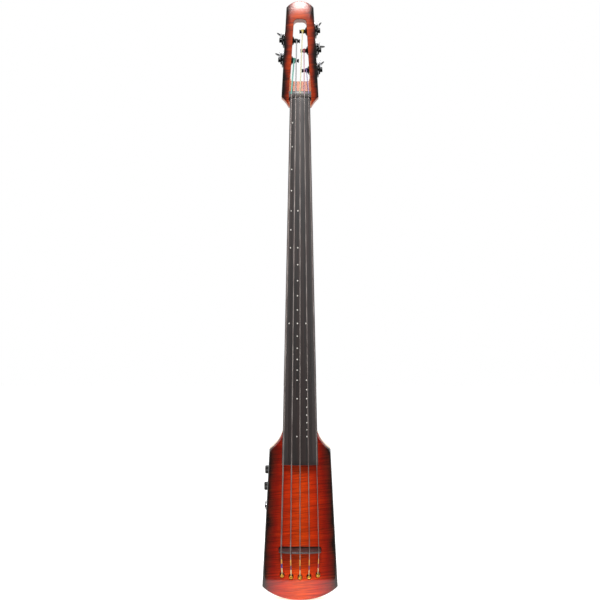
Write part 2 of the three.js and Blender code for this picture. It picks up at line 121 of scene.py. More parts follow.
BALLS = [sum(box_mm("string_ball_%d" % n)) / 2 for n in range(1, 6)]


def height(d):
    """Z of a point d millimetres below the nut's front edge."""
    return NUT_Z - d


# ---- meshes -----------------------------------------------------------------------------------
def quads(rows, columns, wrap=True, start=0):
    """Quads of a grid of rows by columns, wrapped round the columns if asked."""
    last = columns if wrap else columns - 1
    r, c = np.meshgrid(np.arange(rows - 1), np.arange(last), indexing="ij")
    r, c = r.ravel(), c.ravel()
    n = (c + 1) % columns
    corners = (r * columns + c, r * columns + n, (r + 1) * columns + n, (r + 1) * columns + c)
    return np.stack(corners, axis=1) + start


def outward(points, faces):
    """Turns every face round when the closed surface's signed volume is negative."""
    signed = 0.0
    for face in faces if isinstance(faces, list) else [faces]:
        a = points[face[:, 0]]
        for i in range(1, face.shape[1] - 1):
            signed += np.einsum("ij,ij->i", a, np.cross(points[face[:, i]], points[face[:, i + 1]])).sum()
    return [face[:, ::-1] for face in faces] if signed < 0 else faces


def capped(rings):
    """Closed skin over rings of points (rows, columns, 3): a wrapped grid and a fan at each end."""
    rows, columns = rings.shape[:2]
    points = rings.reshape(-1, 3)
    middles = np.stack([rings[0].mean(axis=0), rings[-1].mean(axis=0)])
    points = np.concatenate([points, middles])
    side = np.arange(columns)
    after = (side + 1) % columns
    first = np.stack([after, side, np.full(columns, rows * columns)], axis=1)
    base = (rows - 1) * columns
    last = np.stack([base + side, base + after, np.full(columns, rows * columns + 1)], axis=1)
    return points, outward(points, [quads(rows, columns), np.concatenate([first, last])])


def looped(rings):
    """Closed skin over rings that come back to the first one, like a tyre."""
    rows, columns = rings.shape[:2]
    points = rings.reshape(-1, 3)
    closed = quads(rows + 1, columns)
    return points, outward(points, [closed % (rows * columns)])


def merged(*parts):
    """Several closed skins in one mesh."""
    points, faces, start = [], [], 0
    for verts, groups in parts:
        points.append(verts)
        faces.extend(group + start for group in groups)
        start += len(verts)
    return np.concatenate(points), faces


def mesh_object(name, skin, material, smooth=40.0):
    """Makes a Blender object from millimetre points, smooth apart from edges over the given angle."""
    points, groups = skin
    mesh = bpy.data.meshes.new(name)
    mesh.from_pydata((points * MM).tolist(), [], [f for group in groups for f in group.tolist()])
    mesh.validate()
    mesh.shade_smooth()
    mesh.set_sharp_from_angle(angle=math.radians(smooth))
    mesh.materials.append(material)
    made = bpy.data.objects.new(name, mesh)
    bpy.context.scene.collection.objects.link(made)
    return made


def piece(name, skin, material, nodes=(), body=ROOT, smooth=40.0):
    """A visible piece that rides on a body and stands for the given CAD nodes."""
    made = mesh_object(name, skin, material, smooth)
    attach(made, body)
    if nodes:
        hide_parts(*nodes)
    return made


def cut_away(target, *cutters):
    """Cuts closed pieces out of a piece and deletes them."""
    for cutter in cutters:
        change = target.modifiers.new("cut", "BOOLEAN")
        change.operation = "DIFFERENCE"
        change.solver = "EXACT"
        change.object = cutter
    graph = bpy.context.evaluated_depsgraph_get()
    result = bpy.data.meshes.new_from_object(target.evaluated_get(graph))
    target.modifiers.clear()
    target.data = result
    result.set_sharp_from_angle(angle=math.radians(35))
    for cutter in cutters:
        bpy.data.objects.remove(cutter)


# ---- shapes -----------------------------------------------------------------------------------
def turned(profile, centre, along, across, sides=48):
    """Surface of revolution: profile rows (distance, radius) about the line `along` from `centre`."""
    profile = np.asarray(profile, float)
    along, across = np.asarray(along, float), np.asarray(across, float)
    other = np.cross(along, across)
    angle = np.linspace(0, 2 * np.pi, sides, endpoint=False)
    ring = np.cos(angle)[:, None] * across + np.sin(angle)[:, None] * other
    radius = np.maximum(profile[:, 1], 0.02)
    rings = centre + profile[:, 0, None, None] * along + radius[:, None, None] * ring
    return capped(rings)


def softened(profile, radius=0.5, steps=4):
    """Rounds each inner corner of a profile: a quadratic arc from just before to just after it."""
    profile = np.asarray(profile, float)
    rows = [profile[:1]]
    blend = np.linspace(0, 1, steps + 1)[:, None]
    for before, here, after in zip(profile[:-2], profile[1:-1], profile[2:]):
        back, ahead = before - here, after - here
        reach = min(radius, np.linalg.norm(back) / 2.2, np.linalg.norm(ahead) / 2.2)
        a = here + back / max(np.linalg.norm(back), 1e-9) * reach
        b = here + ahead / max(np.linalg.norm(ahead), 1e-9) * reach
        rows.append((1 - blend) ** 2 * a + 2 * blend * (1 - blend) * here + blend**2 * b)
    rows.append(profile[-1:])
    return np.concatenate(rows)


def inset(outline, distance):
    """A closed outline moved inwards along the mean normal of its two neighbours."""
    edge = np.roll(outline, -1, axis=0) - np.roll(outline, 1, axis=0)
    normal = np.stack([-edge[:, 1], edge[:, 0]], axis=1)
    normal /= np.linalg.norm(normal, axis=1, keepdims=True)
    area = np.sum(outline[:, 0] * np.roll(outline[:, 1], -1) - np.roll(outline[:, 0], -1) * outline[:, 1])
    return outline + normal * distance * (1 if area > 0 else -1)


def rounded_slab(outline, start, end, radius, frame_of, steps=4):
    """A plate: the outline carried from start to end, its rim following a quarter circle at each face."""
    turn = np.linspace(0, np.pi / 2, steps + 1)
    sinks = radius * (1 - np.sin(turn))
    rises = radius * (1 - np.cos(turn))
    rows = [(start + rise, sink) for rise, sink in zip(rises, sinks)]
    rows += [(end - rise, sink) for rise, sink in zip(rises[::-1], sinks[::-1])]
    rings = np.stack([frame_of(inset(outline, sink), place) for place, sink in rows])
    return capped(rings)


def facing_front(outline, place):
    """Outline in x and z, place along y."""
    return np.stack([outline[:, 0], np.full(len(outline), place), outline[:, 1]], axis=1)


def facing_side(outline, place):
    """Outline in y and z, place along x."""
    return np.stack([np.full(len(outline), place), outline[:, 0], outline[:, 1]], axis=1)


def rounded_box_outline(low, high, radius, steps=6):
    """Rectangle with quarter-circle corners."""
    turn = np.linspace(0, np.pi / 2, steps + 1)
    arc = np.stack([np.cos(turn), np.sin(turn)], axis=1) * radius
    corners = []
    for i, (sx, sy) in enumerate([(1, 1), (0, 1), (0, 0), (1, 0)]):
        c, s = [(1, 0), (0, 1), (-1, 0), (0, -1)][i]
        spun = np.stack([arc[:, 0] * c - arc[:, 1] * s, arc[:, 0] * s + arc[:, 1] * c], axis=1)
        centre = [high[0] - radius if sx else low[0] + radius, high[1] - radius if sy else low[1] + radius]
        corners.append(spun + centre)
    return np.concatenate(corners)


def tube(path, radius, sides=14):
    """Round tube: circles across the path's direction, their first point kept in the x direction."""
    path = np.asarray(path, float)
    radius = np.broadcast_to(radius, len(path))
    ahead = np.gradient(path, axis=0)
    ahead /= np.linalg.norm(ahead, axis=1, keepdims=True)
    side = np.cross(ahead, np.cross(np.array([1.0, 0.02, 0.01]), ahead))
    side /= np.linalg.norm(side, axis=1, keepdims=True)
    other = np.cross(ahead, side)
    angle = np.linspace(0, 2 * np.pi, sides, endpoint=False)
    ring = np.cos(angle)[None, :, None] * side[:, None] + np.sin(angle)[None, :, None] * other[:, None]
    return capped(path[:, None] + radius[:, None, None] * ring)


def bent_path(points, bend=3.0, step=6.0):
    """Straight runs between points, each corner rounded by a quadratic arc, sampled every step."""
    rough = softened(np.asarray(points, float), bend, 6)
    rows = []
    for a, b in zip(rough[:-1], rough[1:]):
        count = max(1, int(np.linalg.norm(b - a) / step))
        rows.append(a + (b - a) * (np.arange(count) / count)[:, None])
    rows.append(rough[-1:])
    return np.concatenate(rows)


def disc(centre, radius, thick, sides=20):
    """A small round inlay facing front, with a softened rim."""
    profile = softened([(0, 0), (0, radius), (-thick, radius), (-thick, 0)], thick * 0.6, 3)
    return turned(profile, np.asarray(centre, float), (0, 1, 0), (1, 0, 0), sides)


def screw_head(centre, radius, out, across):
    """Countersunk pan head with a round socket in its middle."""
    profile = [(-1.2, 0), (-1.2, radius * 0.9), (0.1, radius), (radius * 0.28, radius * 0.72)]
    profile += [(radius * 0.34, radius * 0.42), (-0.2, radius * 0.36), (-0.3, 0)]
    return turned(softened(profile, 0.25, 2), np.asarray(centre, float), out, across, 24)


# ---- materials --------------------------------------------------------------------------------
def linear(hex_colour, alpha=1.0):
    """Linear RGBA of an sRGB hex value such as "#c84a0a"."""
    value = int(hex_colour.lstrip("#"), 16)
    parts = [(value >> shift & 255) / 255 for shift in (16, 8, 0)]
    return (*[p / 12.92 if p <= 0.04045 else ((p + 0.055) / 1.055) ** 2.4 for p in parts], alpha)


def add(tree, kind, settings=(), **inputs):
    """Adds a node: settings are its properties, inputs are values or sockets, by name or _index."""
    made = tree.nodes.new("ShaderNode" + kind)
    for key, value in dict(settings).items():
        setattr(made, key, value)
    for key, value in inputs.items():
        socket = made.inputs[int(key[1:])] if key[0] == "_" else made.inputs[key.replace("_", " ")]
        if isinstance(value, bpy.types.NodeSocket):
            tree.links.new(value, socket)
        else:
            socket.default_value = value
    return made


def new_material(name, colour, roughness, metallic=0.0, ior=1.5, coat=0.0, coat_roughness=0.05):
    """A material with a Principled shader; returns it with its tree, shader and object coordinates."""
    material = bpy.data.materials.new(name)
    material.use_nodes = True
    tree = material.node_tree
    shader = tree.nodes["Principled BSDF"]
    shader.inputs["Base Color"].default_value = linear(colour)
    shader.inputs["Roughness"].default_value = roughness
    shader.inputs["Metallic"].default_value = metallic
    if not metallic:
        shader.inputs["IOR"].default_value = ior
    if coat:
        shader.inputs["Coat Weight"].default_value = coat
        shader.inputs["Coat Roughness"].default_value = coat_roughness
    return material, tree, shader, add(tree, "TexCoord").outputs["Object"]


def figure(tree, place, across_mm, width_mm, along_mm, detail=2.0, warp=0.0):
    """Noise stretched to the given sizes along x, y and z in millimetres; returns its value."""
    scale = (1000 / across_mm, 1000 / width_mm, 1000 / along_mm)
    mapped = add(tree, "Mapping", Vector=place, Scale=scale).outputs[0]
    noise = add(tree, "TexNoise", Vector=mapped, Scale=1.0, Detail=detail, Roughness=0.55, Distortion=warp)
    return noise.outputs["Fac"]


def ramp(tree, value, *stops):
    """Colour ramp through (position, hex) stops; returns its colour."""
    made = add(tree, "ValToRGB", Fac=value)
    line = made.color_ramp
    while len(line.elements) < len(stops):
        line.elements.new(0.5)
    for element, (position, colour) in zip(line.elements, stops):
        element.position = position
        element.color = linear(colour)
    return made.outputs["Color"]


def bump(tree, shader, value, strength, distance_mm):
    """Raises the surface by a value times a depth."""
    made = add(tree, "Bump", Height=value, Strength=strength, Distance=distance_mm * MM)
    tree.links.new(made.outputs[0], shader.inputs["Normal"])


def mix(tree, kind, factor, first, second):
    """Mixes two colours with a blend type."""
    made = add(tree, "Mix", {"data_type": "RGBA", "blend_type": kind}, _0=factor, _6=first, _7=second)
    return made.outputs[2]


def maths(tree, operation, first, second=0.0, clamp=False):
    """One sum of two values."""
    made = add(tree, "Math", {"operation": operation, "use_clamp": clamp}, _0=first, _1=second)
    return made.outputs[0]


def edge_distance(tree, place, upper, lower):
    """Distance in millimetres to a side line between two (half width, z) points, and the place's parts."""
    parts = add(tree, "SeparateXYZ", Vector=place)
    half = add(
        tree, "MapRange", {"clamp": True}, Value=parts.outputs["Z"],
        From_Min=lower[1] * MM, From_Max=upper[1] * MM, To_Min=lower[0], To_Max=upper[0],
    ).outputs[0]
    inside = maths(tree, "MULTIPLY", maths(tree, "ABSOLUTE", parts.outputs["X"]), 1 / MM)
    return maths(tree, "SUBTRACT", half, inside), parts


def flame(tree, place, slant=0.10):
    """Curly figure of maple: bands across the grain about 7 mm apart, with finer bands of 2.5 mm."""
    parts = add(tree, "SeparateXYZ", Vector=place)
    lift = maths(tree, "MULTIPLY", parts.outputs["X"], slant)
    tilted = add(
        tree, "CombineXYZ", X=parts.outputs["X"], Y=parts.outputs["Y"],
        Z=maths(tree, "SUBTRACT", parts.outputs["Z"], lift),
    ).outputs[0]
    broad = figure(tree, tilted, 90, 40, 6.0, 2.0, 0.2)
    fine = figure(tree, tilted, 60, 25, 2.6, 1.5, 0.12)
    return broad, fine, tilted


def burst_material(name, upper, lower, stops, reach, hot="#ff9a3a", gloss=0.07, arch=0.0, coat=1.0):
    """Gloss lacquer over stained flamed maple: dark at the edges, brighter inside, with lit curls."""
    material, tree, shader, place = new_material(
        name, "#a03c0c", 0.45, ior=1.5, coat=coat, coat_roughness=gloss)
    shader.inputs["Specular IOR Level"].default_value = 0.08
    edge, parts = edge_distance(tree, place, upper, lower)
    broad, fine, tilted = flame(tree, place)
    wander = maths(tree, "MULTIPLY", maths(tree, "SUBTRACT", figure(tree, place, 40, 40, 60, 2), 0.5), 22)
    inner = maths(tree, "DIVIDE", maths(tree, "ADD", edge, wander), reach, True)
    stain = ramp(tree, inner, *stops)
    bands = ramp(tree, broad, (0.36, "#9a8478"), (0.5, "#d8d4d0"), (0.64, "#ffffff"))
    lines = ramp(tree, fine, (0.38, "#7c6458"), (0.52, "#ffffff"))
    dark = mix(tree, "MULTIPLY", 0.25, stain, bands)
    dark = mix(tree, "MULTIPLY", 0.5, dark, lines)
    curl = ramp(tree, broad, (0.58, "#000000"), (0.74, "#ffffff"))
    glow = mix(tree, "MULTIPLY", 1.0, curl, mix(tree, "MIX", 0.82, linear(hot), stain))
    colour = mix(tree, "ADD", 0.14, dark, glow)
    tree.links.new(colour, shader.inputs["Base Color"])
    rise = maths(tree, "MULTIPLY", maths(tree, "POWER", parts.outputs["X"], 2.0), -arch)
    pores = maths(tree, "MULTIPLY", figure(tree, tilted, 1.2, 1.2, 0.35, 2), 0.000008)
    bump(tree, shader, maths(tree, "ADD", rise, pores), 1.0, 1000.0)
    return material


def plain_maple(name, light, dark, roughness, coat=0.0):
    """Clear-finished maple: pale, with long faint grain along the neck and small dark flecks."""
    material, tree, shader, place = new_material(
        name, light, roughness, ior=1.5, coat=coat, coat_roughness=0.25)
    grain = figure(tree, place, 2.6, 2.6, 160, 4, 0.6)
    fleck = figure(tree, place, 0.7, 0.7, 9, 2)
    broad, fine, _ = flame(tree, place, 0.0)
    colour = ramp(tree, grain, (0.34, dark), (0.62, light))
    colour = mix(tree, "MULTIPLY", 0.25, colour, ramp(tree, broad, (0.4, "#9c8468"), (0.6, "#ffffff")))
    colour = mix(tree, "MULTIPLY", 0.35, colour, ramp(tree, fleck, (0.62, "#ffffff"), (0.74, "#8a6a4c")))
    tree.links.new(colour, shader.inputs["Base Color"])
    bump(tree, shader, grain, 0.08, 0.1)
    return material


def ebony(name, dark, light, roughness):
    """Oiled ebony: near black with brown streaks along the grain and open pores under a dull polish."""
    material, tree, shader, place = new_material(name, dark, roughness, ior=1.5)
    shader.inputs["Specular IOR Level"].default_value = 0.8
    streak = figure(tree, place, 5, 5, 220, 5, 0.8)
    pore = figure(tree, place, 0.5, 0.5, 7, 3)
    colour = ramp(tree, streak, (0.38, dark), (0.7, light))
    colour = mix(tree, "MULTIPLY", 0.5, colour, ramp(tree, pore, (0.56, "#ffffff"), (0.68, "#303030")))
    tree.links.new(colour, shader.inputs["Base Color"])
    rough = ramp(tree, pore, (0.4, "#acacac"), (0.7, "#c0c0c0"))
    tree.links.new(rough, shader.inputs["Roughness"])
    bump(tree, shader, pore, 0.12, 0.08)
    return material


def metal(name, colour, roughness, scratch_mm=0.6, metallic=1.0, smear=0.12):
    """Plated or turned metal: fine tool marks vary the gloss, and handling dulls it in patches."""
    material, tree, shader, place = new_material(name, colour, roughness, metallic)
    marks = figure(tree, place, scratch_mm, scratch_mm * 5, scratch_mm, 3)
    patch = figure(tree, place, 9, 9, 9, 3)
    both = maths(tree, "MULTIPLY", maths(tree, "ADD", marks, patch), smear)
    tree.links.new(maths(tree, "ADD", both, roughness - smear, True), shader.inputs["Roughness"])
    bump(tree, shader, marks, 0.06, 0.03)
    return material


def string_steel(name):
    """Flat ribbon wound on a core: 1.2 mm wraps drawn coarse enough to show, dull nickel steel."""
    material, tree, shader, place = new_material(name, "#8c827e", 0.38, 0.85)
    parts = add(tree, "SeparateXYZ", Vector=place)
    wrap = maths(tree, "SINE", maths(tree, "MULTIPLY", parts.outputs["Z"], 2 * math.pi / (1.2 * MM)))
    patch = figure(tree, place, 5, 5, 40, 3)
    tree.links.new(ramp(tree, patch, (0.3, "#6a5f5c"), (0.7, "#a39a96")), shader.inputs["Base Color"])
    bump(tree, shader, wrap, 0.25, 0.06)
    return material


def silk(name, stops, low, high):
    """Silk thread wound on the string's end: soft sheen, 0.8 mm turns with painted shade between them, coloured
    in bands by height.
    """
    material, tree, shader, place = new_material(name, stops[0][1], 0.7, ior=1.45)
    shader.inputs["Sheen Weight"].default_value = 0.4
    shader.inputs["Sheen Roughness"].default_value = 0.4
    parts = add(tree, "SeparateXYZ", Vector=place)
    along = add(
        tree, "MapRange", {"clamp": True}, Value=parts.outputs["Z"],
        From_Min=low * MM, From_Max=high * MM, To_Min=0.0, To_Max=1.0,
    ).outputs[0]
    made = ramp(tree, along, *stops)
    thread = maths(tree, "SINE", maths(tree, "MULTIPLY", parts.outputs["Z"], 2 * math.pi / (0.8 * MM)))
    # painted shade: each 0.8 mm turn is darker in its groove and lighter on its crest
    lit = maths(tree, "ADD", maths(tree, "MULTIPLY", thread, 0.5), 0.5)
    shade = ramp(tree, lit, (0.1, "#9a9a9a"), (0.7, "#ffffff"))
    tree.links.new(mix(tree, "MULTIPLY", 0.7, made, shade), shader.inputs["Base Color"])
    bump(tree, shader, thread, 0.5, 0.12)
    return material


def moulded(name, colour, roughness, grain_mm=0.4, depth_mm=0.03):
    """Moulded or painted surface with a fine even texture and faint rub marks."""
    material, tree, shader, place = new_material(name, colour, roughness, ior=1.48)
    grain = figure(tree, place, grain_mm, grain_mm, grain_mm, 2)
    rub = figure(tree, place, 14, 14, 14, 4)
    tone = ramp(tree, rub, (0.35, "#d8d8d8"), (0.65, "#ffffff"))
    tree.links.new(mix(tree, "MULTIPLY", 1.0, linear(colour), tone), shader.inputs["Base Color"])
    bump(tree, shader, grain, 0.2, depth_mm)
    return material


FINISHES = {}


def make_finishes(look):
    """Makes every material from the colours of the look, unless an operator already has."""
    if FINISHES:
        return
    hip = (HIP[0], height(HIP[1]))
    corner = (CORNER[0], height(CORNER[1]))
    # deep wet gloss, fiery middle, edges that go to black
    FINISHES["top"] = burst_material(
        "amber sunburst flamed maple", corner, hip,
        ((0.0, "#0c0402"), (0.045, "#1e0a05"), (0.10, "#4a1408"), (0.24, look.burst_edge),
         (0.55, look.burst_middle), (0.92, look.burst_centre)), 92.0,
    )
    # the same stain, redder, with a broad highlight down the middle
    FINISHES["head"] = burst_material(
        "reddish sunburst flamed maple", (HEAD_CORNER[0], height(HEAD_CORNER[1])),
        (HEAD_CHEEK[0], height(HEAD_CHEEK[1])),
        ((0.0, "#080302"), (0.06, "#180604"), (0.15, "#461006"), (0.32, "#8a2602"), (0.7, look.head_centre)),
        40.0, gloss=0.16, arch=3.4, coat=0.4,
    )
    # pale cream wood with faint figure at the sides and back
    FINISHES["core"] = plain_maple("clear lacquered maple", look.side, "#c99a5c", 0.42, 0.4)
    FINISHES["neck"] = plain_maple("oiled maple neck", "#d6a468", "#b0743a", 0.45, 0.2)
    FINISHES["pegbox"] = plain_maple("amber stained maple", "#b45a16", "#8a3c08", 0.5, 0.25)
    # near black that goes grey at a low angle to the light
    FINISHES["board"] = ebony("oiled ebony", "#0d0807", "#2c1d1a", 0.4)
    FINISHES["nut"] = ebony("polished ebony nut", "#2a2422", "#5a514c", 0.25)
    FINISHES["bridge"] = ebony("dark stained maple bridge", "#1a1110", "#3c2c2a", 0.35)
    # small even white spots
    FINISHES["dot"] = moulded("white shell dot", "#e6e2da", 0.3)
    # dark metal with narrow soft highlights
    FINISHES["black"] = metal("black chrome", "#0c0c0d", 0.30, metallic=0.7)
    FINISHES["key"] = metal("gloss black enamel", "#08080a", 0.25, metallic=0.2)
    # bright edges against the black parts
    FINISHES["nickel"] = metal("bright nickel plate", "#d4d4d8", 0.22)
    FINISHES["steel"] = metal("plain steel", "#8e8e92", 0.35)
    # small gold points at the ball-ends
    FINISHES["brass"] = metal("turned brass", "#d2a044", 0.28)
    # dull grey lines, a little ribbed
    FINISHES["string"] = string_steel("flat wound steel")
    # black that shows its flutes only at the rim
    FINISHES["knob"] = moulded("matt black knob", "#111112", 0.45)
    FINISHES["plastic"] = moulded("textured black plastic", "#141414", 0.55)
    FINISHES["board_green"] = moulded("circuit board resin", "#1c5a34", 0.4)
    floor, _, shader, _ = new_material("pale studio floor", "#f4f4f4", 0.8)
    shader.inputs["Emission Color"].default_value = linear("#ffffff")
    shader.inputs["Emission Strength"].default_value = 0.42
    FINISHES["floor"] = floor
    tails = ("#20288c", "#6a2a50", "#7a2a30", "#5a2a5c", "#8a2c48")
    for i, colour in enumerate(tails):
        low = BALLS[i][2]
        FINISHES["tail_%d" % i] = silk(
            "tail silk %d" % (i + 1),
            ((0.0, "#e8cf9c"), (0.44, "#e2c48c"), (0.46, colour), (0.70, colour),
             (0.72, "#d89a2c"), (1.0, "#e0a840")),
            low, low + 47,
        )
    heads = ("#6fae9f", "#98989a", "#cfcaa4", "#bf8f9c", "#9c8cb4")
    winds = ("#1f7a62", "#1c1c1e", "#b8a43c", "#8c1224", "#3a1a66")
    for i, (run, coil) in enumerate(zip(heads, winds)):
        FINISHES["run_%d" % i] = silk("head silk %d" % (i + 1), ((0.0, run), (1.0, run)), 0, 1)
        FINISHES["coil_%d" % i] = silk("post silk %d" % (i + 1), ((0.0, coil), (1.0, coil)), 0, 1)


# ---- body -------------------------------------------------------------------------------------
def side_half(d):
    """Half width of the body's sides: hollow shoulder curve, then a straight flare to the hip."""
    t = np.linspace(0, 1, 40)
    x = (1 - t) ** 2 * SHOULDER[0] + 2 * t * (1 - t) * (SHOULDER[0] + 5) + t**2 * CORNER[0]
    y = (1 - t) ** 2 * SHOULDER[1] + 2 * t * (1 - t) * (SHOULDER[1] + 21) + t**2 * CORNER[1]
    return np.interp(d, np.append(y, HIP[1]), np.append(x, HIP[0]))


def bottom_edge(x):
    """Distance below the nut of the round bottom: the hip's height plus a cubic Bezier bow."""
    t = np.linspace(0, 1, 60)
    span = (1 - t) ** 3 * -1 + 3 * (1 - t) ** 2 * t * -0.5 + 3 * (1 - t) * t**2 * 0.5 + t**3
    bow = 4 * t * (1 - t)
    return HIP[1] + (BODY_END - HIP[1]) * np.interp(x / HIP[0], span, bow)


def body_grid(rows=150, columns=97):
    """Front-view grid over the body: x runs between the sides with rows even in height, and the last
    rows blend from the hip line to the bottom edge. Also gives each point's distance to the outline."""
    upper = np.concatenate([
        np.linspace(SHOULDER[1], CORNER[1], 30), np.linspace(CORNER[1], HIP[1], rows - 60)[1:],
    ])
    across = np.sin(np.linspace(-1, 1, columns) * np.pi / 2) * 0.55 + np.linspace(-1, 1, columns) * 0.45
    x = across[None] * side_half(upper)[:, None]
    d = np.repeat(upper[:, None], columns, axis=1)
    blend = np.sin(np.linspace(0, np.pi / 2, 32))[1:, None]
    low_x = np.repeat(across[None] * HIP[0], 31, axis=0)
    low_d = HIP[1] + blend * (bottom_edge(low_x) - HIP[1] + 0.3)
    x, d = np.concatenate([x, low_x]), np.concatenate([d, low_d])
    rim = np.concatenate([
        np.stack([x[:, 0], d[:, 0]], 1), np.stack([x[-1], d[-1]], 1), np.stack([x[:, -1], d[:, -1]], 1),
    ])
    points = np.stack([x, d], axis=-1).reshape(-1, 2)
    gap = np.full(len(points), 1e9)
    for a in range(0, len(rim), 60):
        block = rim[a:a + 60]
        gap = np.minimum(gap, np.linalg.norm(points[:, None] - block[None], axis=2).min(axis=1))
    edge = gap.reshape(x.shape)
    edge[:, 0] = edge[:, -1] = edge[-1] = 0
    return x, d, edge


def sheet_pair(x, z, front, back):
    """Closed plate from one grid: a front and a back sheet joined round their rim."""
    rows, columns = x.shape
    count = rows * columns
    points = np.concatenate([
        np.stack([x, front, z], axis=-1).reshape(-1, 3), np.stack([x, back, z], axis=-1).reshape(-1, 3),
    ])
    first = quads(rows, columns, wrap=False)
    second = quads(rows, columns, wrap=False, start=count)[:, ::-1]
    index = np.arange(count).reshape(rows, columns)
    rim = np.concatenate([index[0, :-1], index[:-1, -1], index[-1, :0:-1], index[:0:-1, 0]])
    after = np.roll(rim, -1)
    wall = np.stack([rim, rim + count, after + count, after], axis=1)
    return points, outward(points, [first, second, wall[:, ::-1]])


def rolled(edge, width, drop):
    """Depth of a rolled rim: a quarter ellipse that is full at the outline and nothing inside."""
    inside = np.clip(edge / width, 0, 1)
    return drop * (1 - np.sqrt(1 - (1 - inside) ** 2))


def stadium(centre, half, radius, steps=16):
    """Outline of a slot with round ends."""
    turn = np.linspace(-np.pi / 2, np.pi / 2, steps)
    end = np.stack([np.cos(turn), np.sin(turn)], axis=1) * radius + [half - radius, 0]
    return np.concatenate([end, -end]) + centre


def oval(centre, rx, rz, steps=40):
    """Oval outline."""
    turn = np.linspace(0, 2 * np.pi, steps, endpoint=False)
    return np.stack([np.cos(turn) * rx, np.sin(turn) * rz], axis=1) + centre


def cutter(name, outline, front, back, flare=0.0):
    """A closed prism used to cut a hole, with an optional wider mouth."""
    rings = [facing_front(inset(outline, -flare), front - 3)]
    if flare:
        rings += [facing_front(inset(outline, -flare), front), facing_front(outline, front + flare)]
    rings.append(facing_front(outline, back))
    return mesh_object(name, capped(np.stack(rings)), FINISHES["bridge"])


def build_body(sizes):
    """Top plate and core: the body grid carried front and back, with rolled rims and cut pockets, and a black
    sleeve of painted shade in the bridge slot.
    """
    x, d, edge = body_grid()
    z = height(d)
    width = np.interp(d, [CORNER[1], HIP[1]], [sizes.roll_upper / MM, sizes.roll_lower / MM])
    crown = 2.0 * (x / HIP[0]) ** 2
    front = TOP_LOW[1] + crown + rolled(edge, width, 4.6)
    joint = np.full_like(x, TOP_HIGH[1])
    top = piece("top_carved", sheet_pair(x, z, front, joint), FINISHES["top"], ["top_plate"])
    slot = stadium([0, height(BRIDGE_D)], *BRIDGE_SLOT)
    tools = [cutter("slot_tool", slot, TOP_LOW[1] + 0.6, GLUE_BACK, 0.5)]
    for i, ball in enumerate(BALLS):
        hole = oval([ball[0], ball[2] + 1.7], *BALL_POCKET)
        tools.append(cutter("pocket_tool_%d" % i, hole, TOP_LOW[1] + 0.8, GLUE_BACK, 0.4))
    cut_away(top, *tools)
    back = CORE_HIGH[1] - rolled(edge, 9.0, 7.0)
    core = piece("core_maple", sheet_pair(x, z, joint, back), FINISHES["core"], ["body_core"])
    tools = [cutter("well_tool", slot, TOP_HIGH[1] - 2, WELL_FLOOR)]
    for i, ball in enumerate(BALLS):
        hole = oval([ball[0], ball[2] + 1.7], *BALL_POCKET)
        tools.append(cutter("seat_tool_%d" % i, hole, TOP_HIGH[1] - 2, TOP_HIGH[1] + 4))
    cut_away(core, *tools)
    # painted shade: a black sleeve on the bridge slot's walls darkens the gap round the bridge
    outer = np.stack([facing_front(inset(slot, 0.15), y) for y in (TOP_LOW[1] + 1.2, WELL_FLOOR - 0.1)])
    inner = np.stack([facing_front(inset(slot, 0.5), y) for y in (WELL_FLOOR - 0.4, TOP_LOW[1] + 1.2)])
    shade_sleeve = looped(np.concatenate([outer, inner]))
    piece("slot_painted_shade", shade_sleeve, FINISHES["plastic"])


# ---- neck and head ----------------------------------------------------------------------------
def board_half(d):
    """Half width of the fingerboard, growing evenly from the nut to its end."""
    return BOARD_HALF[0] + (BOARD_HALF[1] - BOARD_HALF[0]) * d / BOARD_LENGTH


def board_sag(d):
    """How far the board's edges lie behind its middle, growing evenly to its end."""
    return BOARD_SAG[0] + (BOARD_SAG[1] - BOARD_SAG[0]) * d / BOARD_LENGTH


def build_neck():
    """Neck: at each height a superellipse half, |x/a|^n + |y/b|^n = 1, growing square into the heel."""
    d = np.concatenate([
        np.linspace(HEAD_TAIL[1] - 16, 740, 60), np.linspace(742, 796, 28), [800, BOARD_LENGTH - 1],
    ])
    depth = 25 + d / 160 + 6 * np.clip((40 - d) / 40, 0, 1) ** 2
    heel = np.clip((d - 742) / 52, 0, 1)
    depth += (1 - np.cos(heel * np.pi)) / 2 * 9
    power = 2.0 + 2.6 * heel
    half = np.where(d > 797, 30.0, board_half(d) - 0.4)
    depth = np.where(d > 797, 38.0, depth)
    turn = np.linspace(0, np.pi, 33)
    c, s = np.cos(turn), np.sin(turn)
    ring_x = half[:, None] * np.sign(c) * np.abs(c) ** (2 / power[:, None])
    ring_y = BOARD_HIGH[1] + depth[:, None] * np.abs(s) ** (2 / power[:, None])
    front = np.linspace(-1, 1, 9)[1:-1]
    flat_x = half[:, None] * front
    x = np.concatenate([ring_x, flat_x], axis=1)
    y = np.concatenate([ring_y, np.full_like(flat_x, BOARD_HIGH[1])], axis=1)
    z = np.repeat(height(d)[:, None], x.shape[1], axis=1)
    piece("neck_shaft", capped(np.stack([x, y, z], axis=-1)), FINISHES["neck"], ["neck"])


def head_points(steps=24):
    """Head outline from the upper right corner down and round: round crown, straight cheeks, hollow tails."""
    x0, d0 = HEAD_CORNER
    crown_r = 41.0
    reach = math.asin(x0 / crown_r)
    turn = np.linspace(-reach, reach, steps)
    crown = np.stack([crown_r * np.sin(turn), d0 + crown_r * (math.cos(reach) - np.cos(turn))], axis=1)
    down = np.linspace(0, 1, 40)[1:, None]
    right = crown[-1] + down * (np.array(HEAD_CHEEK) - crown[-1])
    t = np.linspace(0, 1, 12)[1:, None]
    bend = np.array([35.0, 4.0])
    tail = (1 - t) ** 2 * np.array(HEAD_CHEEK) + 2 * t * (1 - t) * bend + t**2 * np.array(HEAD_TAIL)
    half = np.concatenate([right, tail])
    outline = np.concatenate([crown, half, half[::-1] * [-1, 1]])
    return np.stack([outline[:, 0], height(outline[:, 1])], axis=1)


